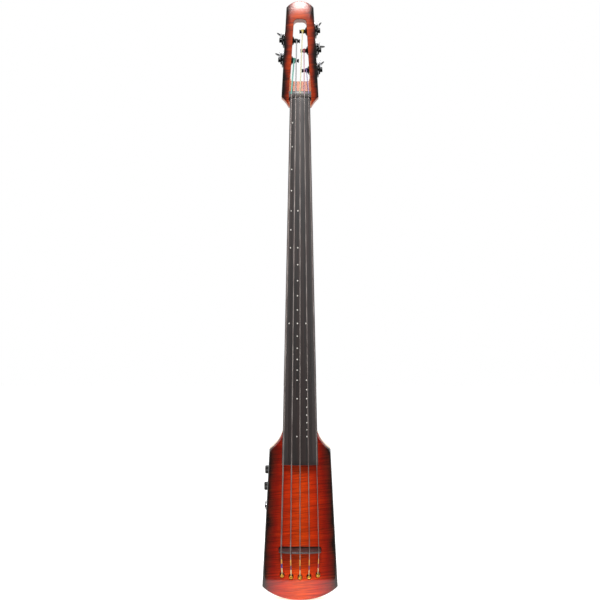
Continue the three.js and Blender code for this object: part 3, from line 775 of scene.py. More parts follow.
def slot_points(low=SLOT_LOW, half_low=23.0, radius=10.0, low_radius=5.0):
    """Slot outline: narrow round top, wider bottom with small corners."""
    half_top = 15.4
    turn = np.linspace(np.pi / 2, 0, 12)
    top = np.stack([half_top - radius + radius * np.cos(turn), SLOT_TOP + radius - radius * np.sin(turn)], 1)
    side = np.linspace(0, 1, 30)[1:-1, None]
    end = np.array([half_low, low - low_radius])
    edge = top[-1] + side * (end - top[-1])
    turn = np.linspace(0, np.pi / 2, 8)
    foot = np.stack([
        half_low - low_radius + low_radius * np.cos(turn), low - low_radius + low_radius * np.sin(turn),
    ], axis=1)
    half = np.concatenate([top, edge, foot])
    outline = np.concatenate([half, half[::-1] * [-1, 1]])
    return np.stack([outline[:, 0], height(outline[:, 1])], axis=1)


def build_head():
    """Pegbox and its face veneer: slabs of the head outline with rounded rims, cut by the slot."""
    outline, slot = head_points(), slot_points()
    core = rounded_slab(outline, FACE_HIGH[1], PEGBOX_HIGH[1], 1.2, facing_front)
    pegbox = piece("pegbox_body", core, FINISHES["pegbox"], ["pegbox"])
    ramp = np.array([[FACE_LOW[1] - 2, height(-14.6)], [-52.5, height(-14.6)], [-43, height(SLOT_LOW - 2)],
                     [FACE_LOW[1] - 2, height(SLOT_LOW - 2)]])
    rings = np.stack([
        np.stack([np.full(4, side * half), ramp[:, 0], ramp[:, 1]], axis=1)
        for side, half in ((-1, 21.5), (1, 21.5))
    ])
    ramp_tool = mesh_object("ramp_tool", capped(rings), FINISHES["pegbox"])
    foot = rounded_box_outline((-27, height(40)), (27, height(-NUT_DEEP)), 0.5)
    cut_away(pegbox, cutter("slot_core", slot, FACE_LOW[1] - 2, PEGBOX_HIGH[1] + 3), ramp_tool,
             cutter("nut_seat", foot, FACE_LOW[1] - 2, BOARD_HIGH[1]))
    veneer = rounded_slab(outline, FACE_LOW[1], FACE_HIGH[1], 1.1, facing_front)
    face = piece("head_veneer", veneer, FINISHES["head"], ["head_face"])
    mouth = np.array([[-23.5, height(-62)], [23.5, height(-62)], [26.6, height(-16)], [26.9, height(40)],
                      [-26.9, height(40)], [-26.6, height(-16)]])
    cut_away(face, cutter("slot_face", slot, FACE_LOW[1] + 0.9, FACE_HIGH[1] + 2, 0.9),
             cutter("mouth_face", mouth, FACE_LOW[1] - 2, FACE_HIGH[1] + 2))


def build_board():
    """Fingerboard: an arc across that deepens towards the end, with eased long edges."""
    d = np.concatenate([[0, 0.4], np.linspace(2, BOARD_LENGTH - 1.5, 90), [BOARD_LENGTH - 0.5, BOARD_LENGTH]])
    ease = np.interp(d, [0, 0.4, 2, BOARD_LENGTH - 1.5, BOARD_LENGTH - 0.5, BOARD_LENGTH],
                     [0.5, 0.1, 0, 0, 0.3, 1.0])
    across = np.linspace(-1, 1, 41)
    half = board_half(d)[:, None] - ease[:, None] * 0.5
    arc_x = half * across * 0.985
    arc_y = BOARD_LOW[1] + board_sag(d)[:, None] * across**2 + ease[:, None]
    rim_y = BOARD_LOW[1] + board_sag(d)[:, None] + 0.9 + ease[:, None]
    flat = np.full((len(d), 1), BOARD_HIGH[1])
    x = np.concatenate([arc_x, half, half, -half, -half], axis=1)
    y = np.concatenate([arc_y, rim_y, flat, flat, rim_y], axis=1)
    z = np.repeat(height(d)[:, None], x.shape[1], axis=1)
    piece("board_ebony", capped(np.stack([x, y, z], axis=-1)), FINISHES["board"], ["fingerboard"])


def string_x(i, d):
    """Place of a string across the board, from 10.1 mm spacing at the nut to 22 mm at the bridge."""
    narrow, wide = STRING_SPACING
    return (i - 2) * (narrow + (wide - narrow) * d / BRIDGE_D)


def build_dots(sizes):
    """Round inlays at the semitone places d = L (1 - 2^(-n/12)), in three columns between the strings."""
    columns = (
        ((0, 1), (1, 2, 3, 4, 5, 6, 7, 12)),
        ((1, 2), (5, 7, 8, 9, 10, 11, 12, 13, 14, 15, 16, 17, 19, 24)),
        ((2, 3), (12, 17, 18, 19, 20, 21, 22, 23, 24)),
    )
    lean = (0.42, 0.62, 0.86)
    skins = []
    for (pair, steps), share in zip(columns, lean):
        for step in steps:
            d = SCALE * (1 - 2 ** (-step / 12))
            x = string_x(pair[0], d) * (1 - share) + string_x(pair[1], d) * share
            y = BOARD_LOW[1] + board_sag(d) * (x / board_half(d)) ** 2 + 0.5
            skins.append(disc([x, y, height(d)], sizes.dot / MM / 2, 0.6))
    piece("position_dots", merged(*skins), FINISHES["dot"])


def build_nut():
    """Nut: the board's arc with a round groove under each string, eased front and back."""
    x = np.linspace(-NUT_HIGH[0], NUT_HIGH[0], 211)
    z = np.array([NUT_LOW[2] + 0.02, NUT_LOW[2] + 0.5, NUT_LOW[2] + 1.5, NUT_LOW[2] + 8, NUT_HIGH[2] - 1.5,
                  NUT_HIGH[2] - 0.4, NUT_HIGH[2]])
    ease = np.array([1.2, 0.35, 0.0, 0.0, 0.3, 1.0, 2.0])
    groove = np.zeros_like(x)
    for i, radius in enumerate(STRING_R):
        away = (x - string_x(i, 0)) / (radius + 0.25)
        groove = np.maximum(groove, np.sqrt(np.clip(1 - away**2, 0, 1)) * (radius + 0.7))
    arc = NUT_LOW[1] + NUT_SAG * (x / NUT_HIGH[0]) ** 2
    top = np.stack([np.repeat(x[None], len(z), 0), arc + groove + ease[:, None],
                    np.repeat(z[:, None], len(x), 1)], axis=-1)
    low = np.stack([
        [[NUT_HIGH[0], BOARD_HIGH[1], level], [NUT_LOW[0], BOARD_HIGH[1], level]] for level in z
    ])
    piece("nut_ebony", capped(np.concatenate([top, low], axis=1)), FINISHES["nut"], ["nut"])


def build_bridge():
    """Bridge: a blade whose top follows a 125 mm circle; thickness falls from foot to crown, rim rounded."""
    x = np.linspace(-BRIDGE_HIGH[0], BRIDGE_HIGH[0], 81)
    crown = BRIDGE_LOW[1] + x**2 / (2 * CROWN_R)
    rise = np.concatenate([np.linspace(0, 0.94, 12), [0.965, 0.985, 0.996, 1.0]])
    thin = np.interp(rise, [0, 0.5, 0.94, 0.985, 1.0], [4.0, 3.2, 2.4, 1.6, 0.3])
    end = np.sqrt(np.clip(1 - (np.abs(x) / (BRIDGE_HIGH[0] + 0.6)) ** 14, 0.02, 1))
    groove = np.zeros_like(x)
    for i, radius in enumerate(STRING_R):
        away = (x - string_x(i, BRIDGE_D)) / (radius + 0.2)
        groove = np.maximum(groove, np.sqrt(np.clip(1 - away**2, 0, 1)))
    foot = BRIDGE_HIGH[1]
    near_top = np.clip((rise[:, None] - 0.93) / 0.07, 0, 1)
    y = foot + (crown[None] - foot) * rise[:, None] + groove[None] * near_top
    mid = height(BRIDGE_D)
    front = np.stack([np.repeat(x[None], len(rise), 0), y, mid + thin[:, None] * end[None]], axis=-1)
    back = np.stack([np.repeat(x[None], len(rise), 0), y, mid - thin[:, None] * end[None]], axis=-1)
    rings = np.concatenate([front, back[::-1]], axis=0).transpose(1, 0, 2)
    piece("bridge_blade", capped(rings), FINISHES["bridge"], ["bridge"])


# ---- strings ----------------------------------------------------------------------------------
def string_path(i):
    """Line of one string: ball, over the bridge, over the nut, under its post."""
    ball, radius, post = BALLS[i], STRING_R[i], POSTS[i]
    bridge_x, nut_x = string_x(i, BRIDGE_D), string_x(i, 0)
    bridge_y = BRIDGE_LOW[1] + bridge_x**2 / (2 * CROWN_R) - radius - 0.9
    nut_y = NUT_LOW[1] + NUT_SAG * (nut_x / NUT_HIGH[0]) ** 2 - radius - 0.6
    return [
        (ball[0], ball[1] - 1.4, ball[2] + 4.3),
        (bridge_x, bridge_y, height(BRIDGE_D + 4.3)),
        (bridge_x, bridge_y, height(BRIDGE_D - 4)),
        (nut_x, nut_y, NUT_Z + 1),
        (nut_x, nut_y, NUT_Z + 13),
        (STRING_AT_POST[i], POST_Y - 4.8 - radius - 0.3, height(post[1])),
    ]


def part_of(path, low, high):
    """The stretch of a rising path between two heights."""
    z = path[:, 2]
    inner = (z > low) & (z < high)
    ends = [[np.interp(place, z, path[:, k]) for k in range(3)] for place in (low, high)]
    return np.concatenate([[ends[0]], path[inner], [ends[1]]])


def build_strings(sizes):
    """Each string: wound steel between two silk-wrapped ends, all on one bent path."""
    extra = sizes.silk / MM
    for i, radius in enumerate(STRING_R):
        path = bent_path(string_path(i), 2.0, 8.0)
        low, tail = path[0, 2], height(BRIDGE_D + 16)
        nut, top = NUT_Z + 7.5, path[-1, 2]
        piece("string_run_%d" % (i + 1), tube(part_of(path, tail, nut), radius, 16), FINISHES["string"],
              ["string_%d" % (i + 1)])
        silk_part = part_of(path, low, tail + 1.5)
        swell = np.full(len(silk_part), radius + extra)
        swell[0], swell[-1] = radius * 0.7, radius * 0.9
        piece("string_tail_silk_%d" % (i + 1), tube(silk_part, swell, 16), FINISHES["tail_%d" % i])
        head_part = part_of(path, nut - 1.5, top - 1.0)
        swell = np.full(len(head_part), radius + extra * 0.7)
        swell[0], swell[-1] = radius * 0.9, radius * 0.6
        piece("string_head_silk_%d" % (i + 1), tube(head_part, swell, 14), FINISHES["run_%d" % i])


def build_balls():
    """Ball-ends: turned brass discs facing front, with a dished hole, and the string's end leaving each."""
    for i, ball in enumerate(BALLS):
        profile = [(-3.2, 0), (-3.2, 1.0), (-3.8, 1.4), (-3.8, 2.9),
                   (-3.4, 3.9), (3.2, 3.9), (3.8, 3.0), (3.8, 0)]
        barrel = turned(softened(profile, 0.5), ball, (0, 1, 0), (1, 0, 0), 36)
        end_run = tube([ball + (0, -1.4, 2.6), ball + (0, -1.4, 4.8)], STRING_R[i] * 0.8, 10)
        piece("ball_end_%d" % (i + 1), merged(barrel, end_run), FINISHES["brass"],
              ["string_ball_%d" % (i + 1)])


# ---- tuners -----------------------------------------------------------------------------------
def wall_frame(side, d):
    """Axes of a tuner on the head's cheek: origin on the wall, out of it, across it (y), up along it."""
    slope = (HEAD_CHEEK[0] - HEAD_CORNER[0]) / (HEAD_CHEEK[1] - HEAD_CORNER[1])
    tilt = math.atan(slope)
    origin = np.array([side * (HEAD_CORNER[0] + (d - HEAD_CORNER[1]) * slope), POST_Y, height(d)])
    out = np.array([side * math.cos(tilt), 0.0, math.sin(tilt)])
    up = np.array([-side * math.sin(tilt), 0.0, math.cos(tilt)])
    return origin, out, np.array([0.0, 1.0, 0.0]), up


def placed(skin, origin, out, across, up):
    """Moves a skin from a tuner's own axes (x out, y across, z up) to the frame's."""
    points, faces = skin
    moved = origin + points[:, :1] * out + points[:, 1:2] * across + points[:, 2:3] * up
    return moved, outward(moved, faces)


def block(low, high, radius=0.6):
    """Box with rounded edges, its faces across x rounded over like a slab."""
    outline = rounded_box_outline((low[1], low[2]), (high[1], high[2]), radius)
    return rounded_slab(outline, low[0], high[0], radius * 0.8, facing_side, 3)


def bar_y(y0, y1, radius, centre, soft=0.4, sides=32):
    """Round bar across the head, with softened rims."""
    profile = softened([(y0, 0), (y0, radius), (y1, radius), (y1, 0)], soft, 3)
    return turned(profile, np.array([centre[0], 0.0, centre[1]]), (0, 1, 0), (1, 0, 0), sides)


def ring_y(y0, y1, outer, inner, centre, sides=40):
    """A ring across the head: a square section swept round, its corners softened."""
    section = softened([(y0, inner), (y0, outer), (y1, outer), (y1, inner)], 0.5, 3)
    angle = np.linspace(0, 2 * np.pi, sides, endpoint=False)
    x = centre[0] + np.cos(angle)[:, None] * section[None, :, 1]
    z = centre[1] + np.sin(angle)[:, None] * section[None, :, 1]
    y = np.repeat(section[None, :, 0], sides, axis=0)
    return looped(np.stack([x, y, z], axis=-1))


def gear_skin():
    """Worm wheel: a cylinder whose radius is 9.9 + 0.7 cos(20 angle - along / 3.4), faces chamfered."""
    angle = np.linspace(0, 2 * np.pi, 240, endpoint=False)
    along = np.array([3.6, 3.9, 4.4, 5.5, 6.6, 7.1, 7.4])
    chamfer = np.array([0.7, 0.3, 0.0, 0.0, 0.0, 0.3, 0.7])
    wave = np.cos(20 * angle[None] - (along[:, None] - 5.5) / 3.4)
    shaped = np.sign(wave) * np.abs(wave) ** 0.7
    radius = 9.9 + 0.7 * shaped - chamfer[:, None]
    x = np.repeat(along[:, None], 240, axis=1)
    return capped(np.stack([x, radius * np.cos(angle), radius * np.sin(angle)], axis=-1))


def worm_skin():
    """Worm: radius 3.4 + 0.7 cos(angle + pi / 2 - 2 pi along / pitch), faded out at both ends."""
    pitch = 2 * math.pi * 10.2 / 20
    along = np.linspace(-6.4, 6.4, 129)
    angle = np.linspace(0, 2 * np.pi, 48, endpoint=False)
    fade = np.clip((6.4 - np.abs(along)) / 1.2, 0, 1)
    wave = np.cos(angle[None] + math.pi / 2 - 2 * math.pi * along[:, None] / pitch)
    radius = 3.4 - 0.7 + 0.7 * (1 + wave) * (0.35 + 0.65 * fade[:, None])
    x = WORM_AT[0] + radius * np.cos(angle)
    z = WORM_AT[1] - radius * np.sin(angle)
    y = np.repeat(along[:, None], 48, axis=1)
    return capped(np.stack([x, y, z], axis=-1))


def paddle_skin(turn_degrees):
    """Key blade: an ellipse 36 by 19 mm that swells from 1.6 mm at its rim to 3 mm, turned on its shaft."""
    outline = oval([0.0, KEY_Y], 18.0, 9.5, 72)
    centre = np.array([0.0, KEY_Y])
    rows = [(0.05, 1.5), (0.5, 1.48), (0.8, 1.36), (0.93, 1.15), (0.985, 0.8), (1.0, 0.35)]
    rings = rows + [(share, -lift) for share, lift in rows[::-1]]
    turn = math.radians(turn_degrees)
    stack = []
    for share, lift in rings:
        shape = centre + (outline - centre) * share
        x = shape[:, 0] * math.cos(turn) - lift * math.sin(turn)
        z = shape[:, 0] * math.sin(turn) + lift * math.cos(turn)
        stack.append(np.stack([WORM_AT[0] + x, shape[:, 1], WORM_AT[1] + z], axis=1))
    return capped(np.stack(stack))


def build_tuner_base(side, d, prefix):
    """The parts screwed to the head: plate with its screws, the rings, lugs, wall and roof of the housing, and
    the bushing.
    """
    axes = wall_frame(side, d)
    plate = block((0.3, -14, -14), (2.5, 14, 6.4), 1.4)
    foot = block((0.3, -14, -15), (3.9, 14, -12.2), 0.6)
    piece(prefix + "plate_black", placed(merged(plate, foot), *axes), FINISHES["black"],
          [prefix + "plate"])
    screws = [screw_head((2.5, y, z), 1.9, (1, 0, 0), (0, 1, 0)) for y in (-11, 11) for z in (-9.6, 3.4)]
    piece(prefix + "screws", placed(merged(*screws), *axes), FINISHES["nickel"])
    front = ring_y(-13.0, -7.2, 5.2, 2.2, WORM_AT)
    back = ring_y(7.0, 10.0, 5.2, 3.0, WORM_AT)
    lug_front = block((0.6, -13, 8.7), (10.4, -7.4, 10.6), 0.6)
    lug_back = block((0.6, 7.4, 8.7), (10.4, 10, 10.6), 0.6)
    inner_wall = block((0.6, -12.6, 6.6), (1.6, 9.8, 15.2), 0.5)
    roof = block((1.2, -12.4, 17.4), (9.8, 9.6, 18.6), 0.5)
    housing = merged(front, back, lug_front, lug_back, inner_wall, roof)
    piece(prefix + "housing_nickel", placed(housing, *axes),
          FINISHES["nickel"], [prefix + "housing"])
    section = [(-0.1, 4.6), (-19.0, 4.6), (-19.0, 10.6), (-19.7, 10.4), (-23.0, 5.6), (-23.0, 4.5), (-0.1, 4.5)]
    rim = softened(section, 0.5, 3)[:-1]
    angle = np.linspace(0, 2 * np.pi, 48, endpoint=False)
    ring = np.stack([
        np.repeat(rim[None, :, 0], 48, axis=0),
        np.cos(angle)[:, None] * rim[None, :, 1], np.sin(angle)[:, None] * rim[None, :, 1],
    ], axis=-1)
    piece(prefix + "bushing_black", placed(looped(ring), *axes), FINISHES["black"],
          [prefix + "bushing"])


def build_tuner_drum(index, side, d, prefix, sizes):
    """The parts that turn slowly: toothed wheel, its cap, the waisted post and the silk wound on it."""
    axes, body = wall_frame(side, d), prefix + "drum"
    black = FINISHES["black"]
    piece(prefix + "gear_teeth", placed(gear_skin(), *axes), black, [prefix + "gear"], body)
    dome = [(6.9, 0), (6.9, 6.0), (12.6, 6.0), (13.2, 5.2), (13.2, 2.2), (12.7, 1.8), (12.7, 0)]
    cap = turned(softened(dome, 0.5, 3), np.zeros(3), (1, 0, 0), (0, 1, 0), 40)
    slot = block((12.4, -1.7, -0.35), (12.95, 1.7, 0.35), 0.1)
    piece(prefix + "cap", placed(merged(cap, slot), *axes), black, (), body)
    waist = [(8.4, 0), (8.4, 2.3), (3.2, 2.3), (3.2, 4.2), (-23.2, 4.2), (-24.5, 4.8), (-26.6, 4.1), (-28.4, 3.5),
             (-32.4, 3.5), (-34.2, 4.1), (-34.9, 4.8), (-36.3, 4.8), (-36.3, 0)]
    post = turned(softened(waist, 0.8, 4), np.zeros(3), (1, 0, 0), (0, 1, 0), 40)
    piece(prefix + "post_black", placed(post, *axes), black, [prefix + "post"], body)
    where = (STRING_AT_POST[index] - axes[0][0]) / axes[1][0]
    thread = STRING_R[index] * 0.72 + sizes.silk / MM * 0.4
    turns = 3.5
    angle = np.linspace(0, 2 * np.pi * turns, int(28 * turns) + 1)
    along = where + (angle / (2 * np.pi) - turns / 2) * thread * 1.75
    hug = np.interp(along, [-36.3, -34.9, -32.4, -28.4, -24.5, -23.0], [4.8, 4.8, 3.5, 3.5, 4.8, 4.2])
    hug = hug + thread * 0.92
    coil = np.stack([along, -np.cos(angle) * hug, np.sin(angle) * hug], axis=1)
    ahead = np.gradient(coil, axis=0)
    ahead /= np.linalg.norm(ahead, axis=1, keepdims=True)
    out = coil * [0, 1, 1]
    out /= np.linalg.norm(out, axis=1, keepdims=True)
    other = np.cross(ahead, out)
    round_ = np.linspace(0, 2 * np.pi, 11)[:-1]
    rings = coil[:, None] + thread * (np.cos(round_)[None, :, None] * out[:, None]
                                      + np.sin(round_)[None, :, None] * other[:, None])
    piece(prefix + "winding", placed(capped(rings), *axes), FINISHES["coil_%d" % index], (), body)


def build_tuner_key(index, side, d, prefix):
    """The parts that turn with the player's fingers: worm, journal, shaft, collar and flat blade."""
    axes, body = wall_frame(side, d), prefix + "worm"
    worm = worm_skin()
    pivot = bar_y(-12.6, -5.6, 1.8, WORM_AT)
    shaft = bar_y(5.6, KEY_Y - 7.6, 2.6, WORM_AT, 0.5)
    collar = bar_y(11.0, 13.0, 3.6, WORM_AT, 0.5)
    piece(prefix + "worm_steel", placed(merged(worm, pivot, shaft, collar), *axes),
          FINISHES["nickel"], [prefix + "key"], body)
    blade = placed(paddle_skin(KEY_ANGLE[index]), *axes)
    piece(prefix + "key_blade", blade, FINISHES["key"], (), body)


def build_tuners(sizes):
    """Five tuning machines, two on the low side of the head and three on the high side."""
    for index, (side, d) in enumerate(POSTS):
        prefix = "tuner_%d_" % (index + 1)
        build_tuner_base(side, d, prefix)
        build_tuner_drum(index, side, d, prefix, sizes)
        build_tuner_key(index, side, d, prefix)


# ---- controls and fittings --------------------------------------------------------------------
def build_knobs():
    """Two knurled knobs: radius 9.75 with 48 fine flutes, each with a pointer line."""
    for name, body in (("volume", "volume_control"), ("tone", "tone_control")):
        low, high = box_mm(name + "_knob")
        middle = (low + high) / 2
        outer = (high[2] - low[2]) / 2
        thick = high[0] - low[0]
        angle = np.linspace(0, 2 * np.pi, 192, endpoint=False)
        rows = softened([(0.0, 0.1), (0.0, outer - 1.0), (thick - 5.2, outer - 0.3), (thick - 1.0, outer - 0.5),
                         (thick, outer - 1.6), (thick - 0.3, 0.1)], 0.6, 3)
        flute = np.clip(rows[:, 1] - (outer - 1.7), 0, 1) * 0.35
        radius = rows[:, 1][:, None] + flute[:, None] * (0.5 + 0.5 * np.cos(48 * angle)[None])
        x = np.repeat(low[0] + thick - rows[:, 0][:, None], 192, axis=1)
        skin = capped(np.stack([
            x, middle[1] + radius * np.cos(angle), middle[2] + radius * np.sin(angle)], axis=-1))
        piece(name + "_knob_cap", skin, FINISHES["knob"], [name + "_knob"], body)
        line = block((0, 0, 0), (1, 1, 1), 0.2)
        points = line[0] * [0.35, 0.9, 5.0] + [low[0] - 0.12, middle[1] - 0.45, middle[2] + outer * 0.25]
        piece(name + "_pointer", (points, outward(points, line[1])), FINISHES["dot"], (), body)


def build_jack():
    """Output socket: dished steel plate on the side, hex nut, and the dark bore."""
    low, high = box_mm("jack_plate")
    middle = (low + high) / 2
    centre = np.array([high[0], middle[1], middle[2]])
    thick = high[0] - low[0]
    ring = softened([(0, 4.6), (0, 11.0), (thick, 10.4), (thick, 4.6)], 0.3, 3)
    angle = np.linspace(0, 2 * np.pi, 64, endpoint=False)

    def swept(rows, radius):
        """A ring about the socket's axis: depths into the side, and radii for each angle."""
        return looped(np.stack([
            np.repeat(centre[0] - rows[None, :, 0], len(angle), axis=0),
            centre[1] + np.cos(angle)[:, None] * radius,
            centre[2] + np.sin(angle)[:, None] * radius,
        ], axis=-1))

    piece("jack_plate_steel", swept(ring, ring[None, :, 1]), FINISHES["black"], ["jack_plate"])
    hexagon = np.cos(np.pi / 6) / np.cos((angle + np.pi / 6) % (np.pi / 3) - np.pi / 6)
    rows = np.array([(thick, 4.3), (thick, 7.2), (thick + 2.0, 7.0), (thick + 2.2, 4.3)])
    grow = np.array([0.0, 1.0, 1.0, 0.0])
    radius = rows[None, :, 1] * (1 + grow[None] * (np.minimum(hexagon, 1.15)[:, None] - 1))
    piece("jack_nut", swept(rows, radius), FINISHES["nickel"])


def corner_spots(low, high, margin):
    """Places (x, z) of four screws, each a margin in from a plate's edges."""
    return [(x, z) for x in (low[0] + margin, high[0] - margin) for z in (low[2] + margin, high[2] - margin)]


def build_cover():
    """Control cover let into the back: black plate with round corners and four screws."""
    outline = rounded_box_outline((COVER_LOW[0], COVER_LOW[2]), (COVER_HIGH[0], COVER_HIGH[2]), 6.0, 8)
    skin = rounded_slab(outline, COVER_LOW[1], COVER_HIGH[1], 0.5, facing_front, 3)
    piece("cover_plate", skin, FINISHES["plastic"], ["control_cover"])
    spots = corner_spots(COVER_LOW, COVER_HIGH, 5)
    screws = [screw_head((x, COVER_HIGH[1] - 0.05, z), 2.6, (0, 1, 0), (1, 0, 0)) for x, z in spots]
    piece("cover_screws", merged(*screws), FINISHES["black"])


def build_stand_plate():
    """Mounting plate for the stand: a steel plate in the back with four screws."""
    outline = rounded_box_outline((STAND_LOW[0], STAND_LOW[2]), (STAND_HIGH[0], STAND_HIGH[2]), 4.0, 6)
    skin = rounded_slab(outline, STAND_LOW[1] + 0.02, STAND_HIGH[1], 0.5, facing_front, 3)
    piece("stand_plate_steel", skin, FINISHES["steel"], ["stand_plate"])
    spots = corner_spots(STAND_LOW, STAND_HIGH, 7)
    screws = [screw_head((x, STAND_HIGH[1] - 1.0, z), 3.0, (0, 1, 0), (1, 0, 0)) for x, z in spots]
    piece("stand_screws", merged(*screws), FINISHES["black"])


INSIDE = (
    ("truss_rod", "steel"), ("bridge_pickup", "plastic"), ("circuit_board", "board_green"),
    ("volume_pot", "nickel"), ("tone_pot", "nickel"), ("output_jack", "nickel"),
)


def finish_inside():
    """Gives the CAD pieces that stay as they are their real materials."""
    for node, finish in INSIDE:
        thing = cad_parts[node]
        thing.data.materials.clear()
        thing.data.materials.append(FINISHES[finish])


# ---- stage ------------------------------------------------------------------------------------
CAMERA_AWAY = 2400.0  # in front of the fingerboard
CAMERA_BELOW_NUT = 478.1
FOCAL_LENGTH = 61.05
# The floor starts just in front of the bass, so that its glossy parts don't mirror a bright floor.
FLOOR_HALF, FLOOR_NEAR = 6000.0, -220.0


def build_stage(light):
    """Pale floor, a surround that is pale behind the bass and dim before it, three softboxes, the camera."""
    ground = CAD_BOX[0][2] / MM - 0.5
    half, near = FLOOR_HALF, FLOOR_NEAR
    corners = np.array([
        [-half, near, ground], [half, near, ground], [half, half, ground], [-half, half, ground],
    ])
    floor = mesh_object("studio_floor", (corners, [np.array([[0, 1, 2, 3]])]), FINISHES["floor"])
    world = bpy.data.worlds.new("studio")
    world.use_nodes = True
    tree = world.node_tree
    pale = tree.nodes["Background"]
    pale.inputs["Color"].default_value = (1.0, 1.0, 1.0, 1.0)
    pale.inputs["Strength"].default_value = 1.0
    facing = add(tree, "SeparateXYZ", Vector=add(tree, "TexCoord").outputs["Generated"]).outputs["Y"]
    shade = add(tree, "MapRange", {"interpolation_type": "SMOOTHSTEP"}, Value=facing,
                From_Min=-0.55, From_Max=0.35, To_Min=light.room, To_Max=light.world).outputs[0]
    dim = add(tree, "Background", Color=(1.0, 1.0, 1.0, 1.0), Strength=shade).outputs[0]
    seen = add(tree, "LightPath").outputs["Is Camera Ray"]
    both = add(tree, "MixShader", _0=seen, _1=dim, _2=pale.outputs[0]).outputs[0]
    tree.links.new(both, tree.nodes["World Output"].inputs["Surface"])
    bpy.context.scene.world = world
    lamps = (
        ("high_softbox", (0.0, -2.5, 2.7), (0.0, 0.0, 0.8), (0.45, 0.9), light.key),
        ("left_softbox", (-1.9, -1.7, 0.9), (0.0, 0.0, 0.4), (0.8, 1.8), light.fill),
        ("right_softbox", (1.9, -1.7, 0.9), (0.0, 0.0, 0.4), (0.8, 1.8), light.fill * 1.25),
    )
    for name, place, aim, size, power in lamps:
        lamp = bpy.data.lights.new(name, "AREA")
        lamp.shape = "RECTANGLE"
        lamp.size, lamp.size_y = size
        lamp.energy = power
        made = bpy.data.objects.new(name, lamp)
        bpy.context.scene.collection.objects.link(made)
        made.location = place
        made.rotation_euler = (Vector(aim) - Vector(place)).to_track_quat("-Z", "Y").to_euler()
    lens = bpy.data.cameras.new("camera")
    lens.lens = FOCAL_LENGTH
    lens.sensor_width = 36.0
    lens.clip_end = 100.0
    camera = bpy.data.objects.new("camera", lens)
    bpy.context.scene.collection.objects.link(camera)
    camera.location = (0.0, (BOARD_LOW[1] - CAMERA_AWAY) * MM, height(CAMERA_BELOW_NUT) * MM)
    camera.rotation_euler = (math.radians(90), 0.0, 0.0)
    bpy.context.scene.camera = camera
    bpy.context.scene.view_settings.view_transform = "Standard"


# ---- add-on -----------------------------------------------------------------------------------
def length_property(label, text, value):
    """A length in metres for a property group."""
    return bpy.props.FloatProperty(name=label, description=text, default=value, min=0.0, subtype="DISTANCE",
                                   unit="LENGTH", precision=4)


def colour_property(label, text, value):
    """An sRGB hex colour for a property group."""
    return bpy.props.StringProperty(name=label, description=text, default=value)


class BassSizes(bpy.types.PropertyGroup):
    """Sizes of the soft and rounded details that the frame leaves open."""

    roll_upper: length_property("Upper rim roll", "Width of the rounded rim at the shoulders", 0.005)
    roll_lower: length_property("Lower rim roll", "Width of the rounded rim at the hips", 0.010)
    dot: length_property("Dot diameter", "Diameter of the position dots on the fingerboard", 0.0033)
    silk: length_property("Silk thickness", "How much the silk winding adds to a string's radius", 0.0003)


class BassLook(bpy.types.PropertyGroup):
    """Colours of the sunburst and of the body's side, as sRGB hex."""

    burst_edge: colour_property("Burst edge", "Stain just inside the dark rim", "#7e1000")
    burst_middle: colour_property("Burst middle", "Stain half way to the centre", "#b72a00")
    burst_centre: colour_property("Burst centre", "Stain along the middle of the body", "#cc4002")
    head_centre: colour_property("Head centre", "Stain along the middle of the head", "#a83a04")
    side: colour_property("Body side", "Clear finished maple of the body's sides and back", "#e8cf9e")


class BassLight(bpy.types.PropertyGroup):
    """Strength of the studio lights."""

    world: bpy.props.FloatProperty(name="World", description="Strength of the pale surround behind the bass",
                                   default=1.1, min=0.0)
    room: bpy.props.FloatProperty(name="Room", description="Strength of the dim room that the front faces",
                                  default=0.08, min=0.0)
    key: bpy.props.FloatProperty(name="Softbox", description="Power of the high softbox in watts",
                                 default=125.0, min=0.0, unit="POWER")
    fill: bpy.props.FloatProperty(name="Fill", description="Power of each side softbox in watts",
                                  default=20.0, min=0.0, unit="POWER")


class BASS_OT_body(bpy.types.Operator):
    """Builds the carved top, the maple core and the black sleeve of painted shade in the bridge slot"""

    bl_idname = "bass.body"
    bl_label = "Body"

    def execute(self, context):
        make_finishes(context.scene.bass_look)
        build_body(context.scene.bass_sizes)
        return {"FINISHED"}


class BASS_OT_neck(bpy.types.Operator):
    """Builds the neck with its heel"""

    bl_idname = "bass.neck"
    bl_label = "Neck"

    def execute(self, context):
        make_finishes(context.scene.bass_look)
        build_neck()
        return {"FINISHED"}


class BASS_OT_head(bpy.types.Operator):
    """Builds the slotted pegbox and its face veneer"""

    bl_idname = "bass.head"
    bl_label = "Head"

    def execute(self, context):
        make_finishes(context.scene.bass_look)
        build_head()
        return {"FINISHED"}


class BASS_OT_fingerboard(bpy.types.Operator):
    """Builds the fingerboard, its position dots and the nut"""

    bl_idname = "bass.fingerboard"
    bl_label = "Fingerboard and nut"

    def execute(self, context):
        make_finishes(context.scene.bass_look)
        build_board()
        build_dots(context.scene.bass_sizes)
        build_nut()
        return {"FINISHED"}


class BASS_OT_bridge(bpy.types.Operator):
    """Builds the bridge blade"""

    bl_idname = "bass.bridge"
    bl_label = "Bridge"

    def execute(self, context):
        make_finishes(context.scene.bass_look)
        build_bridge()
        return {"FINISHED"}


class BASS_OT_strings(bpy.types.Operator):
    """Builds the five strings with their silk and ball-ends"""

    bl_idname = "bass.strings"
    bl_label = "Strings"

    def execute(self, context):
        make_finishes(context.scene.bass_look)
        build_strings(context.scene.bass_sizes)
        build_balls()
        return {"FINISHED"}


class BASS_OT_tuners(bpy.types.Operator):
    """Builds the five worm-gear tuning machines"""

    bl_idname = "bass.tuners"
    bl_label = "Tuners"

    def execute(self, context):
        make_finishes(context.scene.bass_look)
        build_tuners(context.scene.bass_sizes)
        return {"FINISHED"}


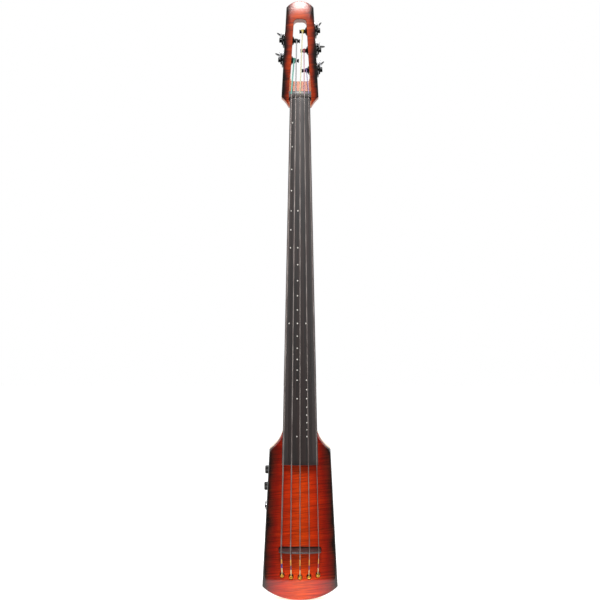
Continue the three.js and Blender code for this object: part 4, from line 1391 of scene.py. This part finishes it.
class BASS_OT_controls(bpy.types.Operator):
    """Builds the knobs, the output socket, the control cover and the stand plate"""

    bl_idname = "bass.controls"
    bl_label = "Controls and fittings"

    def execute(self, context):
        make_finishes(context.scene.bass_look)
        build_knobs()
        build_jack()
        build_cover()
        build_stand_plate()
        finish_inside()
        return {"FINISHED"}


class BASS_OT_stage(bpy.types.Operator):
    """Builds the floor, the soft lights and the camera"""

    bl_idname = "bass.stage"
    bl_label = "Stage"

    def execute(self, context):
        make_finishes(context.scene.bass_look)
        build_stage(context.scene.bass_light)
        return {"FINISHED"}


OPERATORS = (
    BASS_OT_stage, BASS_OT_body, BASS_OT_neck, BASS_OT_head, BASS_OT_fingerboard, BASS_OT_bridge,
    BASS_OT_strings, BASS_OT_tuners, BASS_OT_controls,
)


class BASS_PT_panel(bpy.types.Panel):
    """Sidebar panel with the sizes, the colours and one button for each operator"""

    bl_label = "Upright bass"
    bl_idname = "BASS_PT_panel"
    bl_space_type = "VIEW_3D"
    bl_region_type = "UI"
    bl_category = "Bass"

    def draw(self, context):
        scene = context.scene
        for group in (scene.bass_sizes, scene.bass_look, scene.bass_light):
            box = self.layout.box()
            for key in group.bl_rna.properties.keys():
                if key not in ("rna_type", "name"):
                    box.prop(group, key)
        for operator in OPERATORS:
            self.layout.operator(operator.bl_idname)


GROUPS = (("bass_sizes", BassSizes), ("bass_look", BassLook), ("bass_light", BassLight))


def register():
    """Registers the property groups on the scene, the operators and the panel."""
    for name, group in GROUPS:
        bpy.utils.register_class(group)
        setattr(bpy.types.Scene, name, bpy.props.PointerProperty(type=group))
    for thing in (*OPERATORS, BASS_PT_panel):
        bpy.utils.register_class(thing)


def unregister():
    """Takes everything away again in the opposite order."""
    for thing in (BASS_PT_panel, *reversed(OPERATORS)):
        bpy.utils.unregister_class(thing)
    for name, group in reversed(GROUPS):
        delattr(bpy.types.Scene, name)
        bpy.utils.unregister_class(group)


def main():
    """Registers the add-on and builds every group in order."""
    register()
    for operator in OPERATORS:
        group, name = operator.bl_idname.split(".")
        getattr(getattr(bpy.ops, group), name)()


if __name__ == "__main__":
    main()
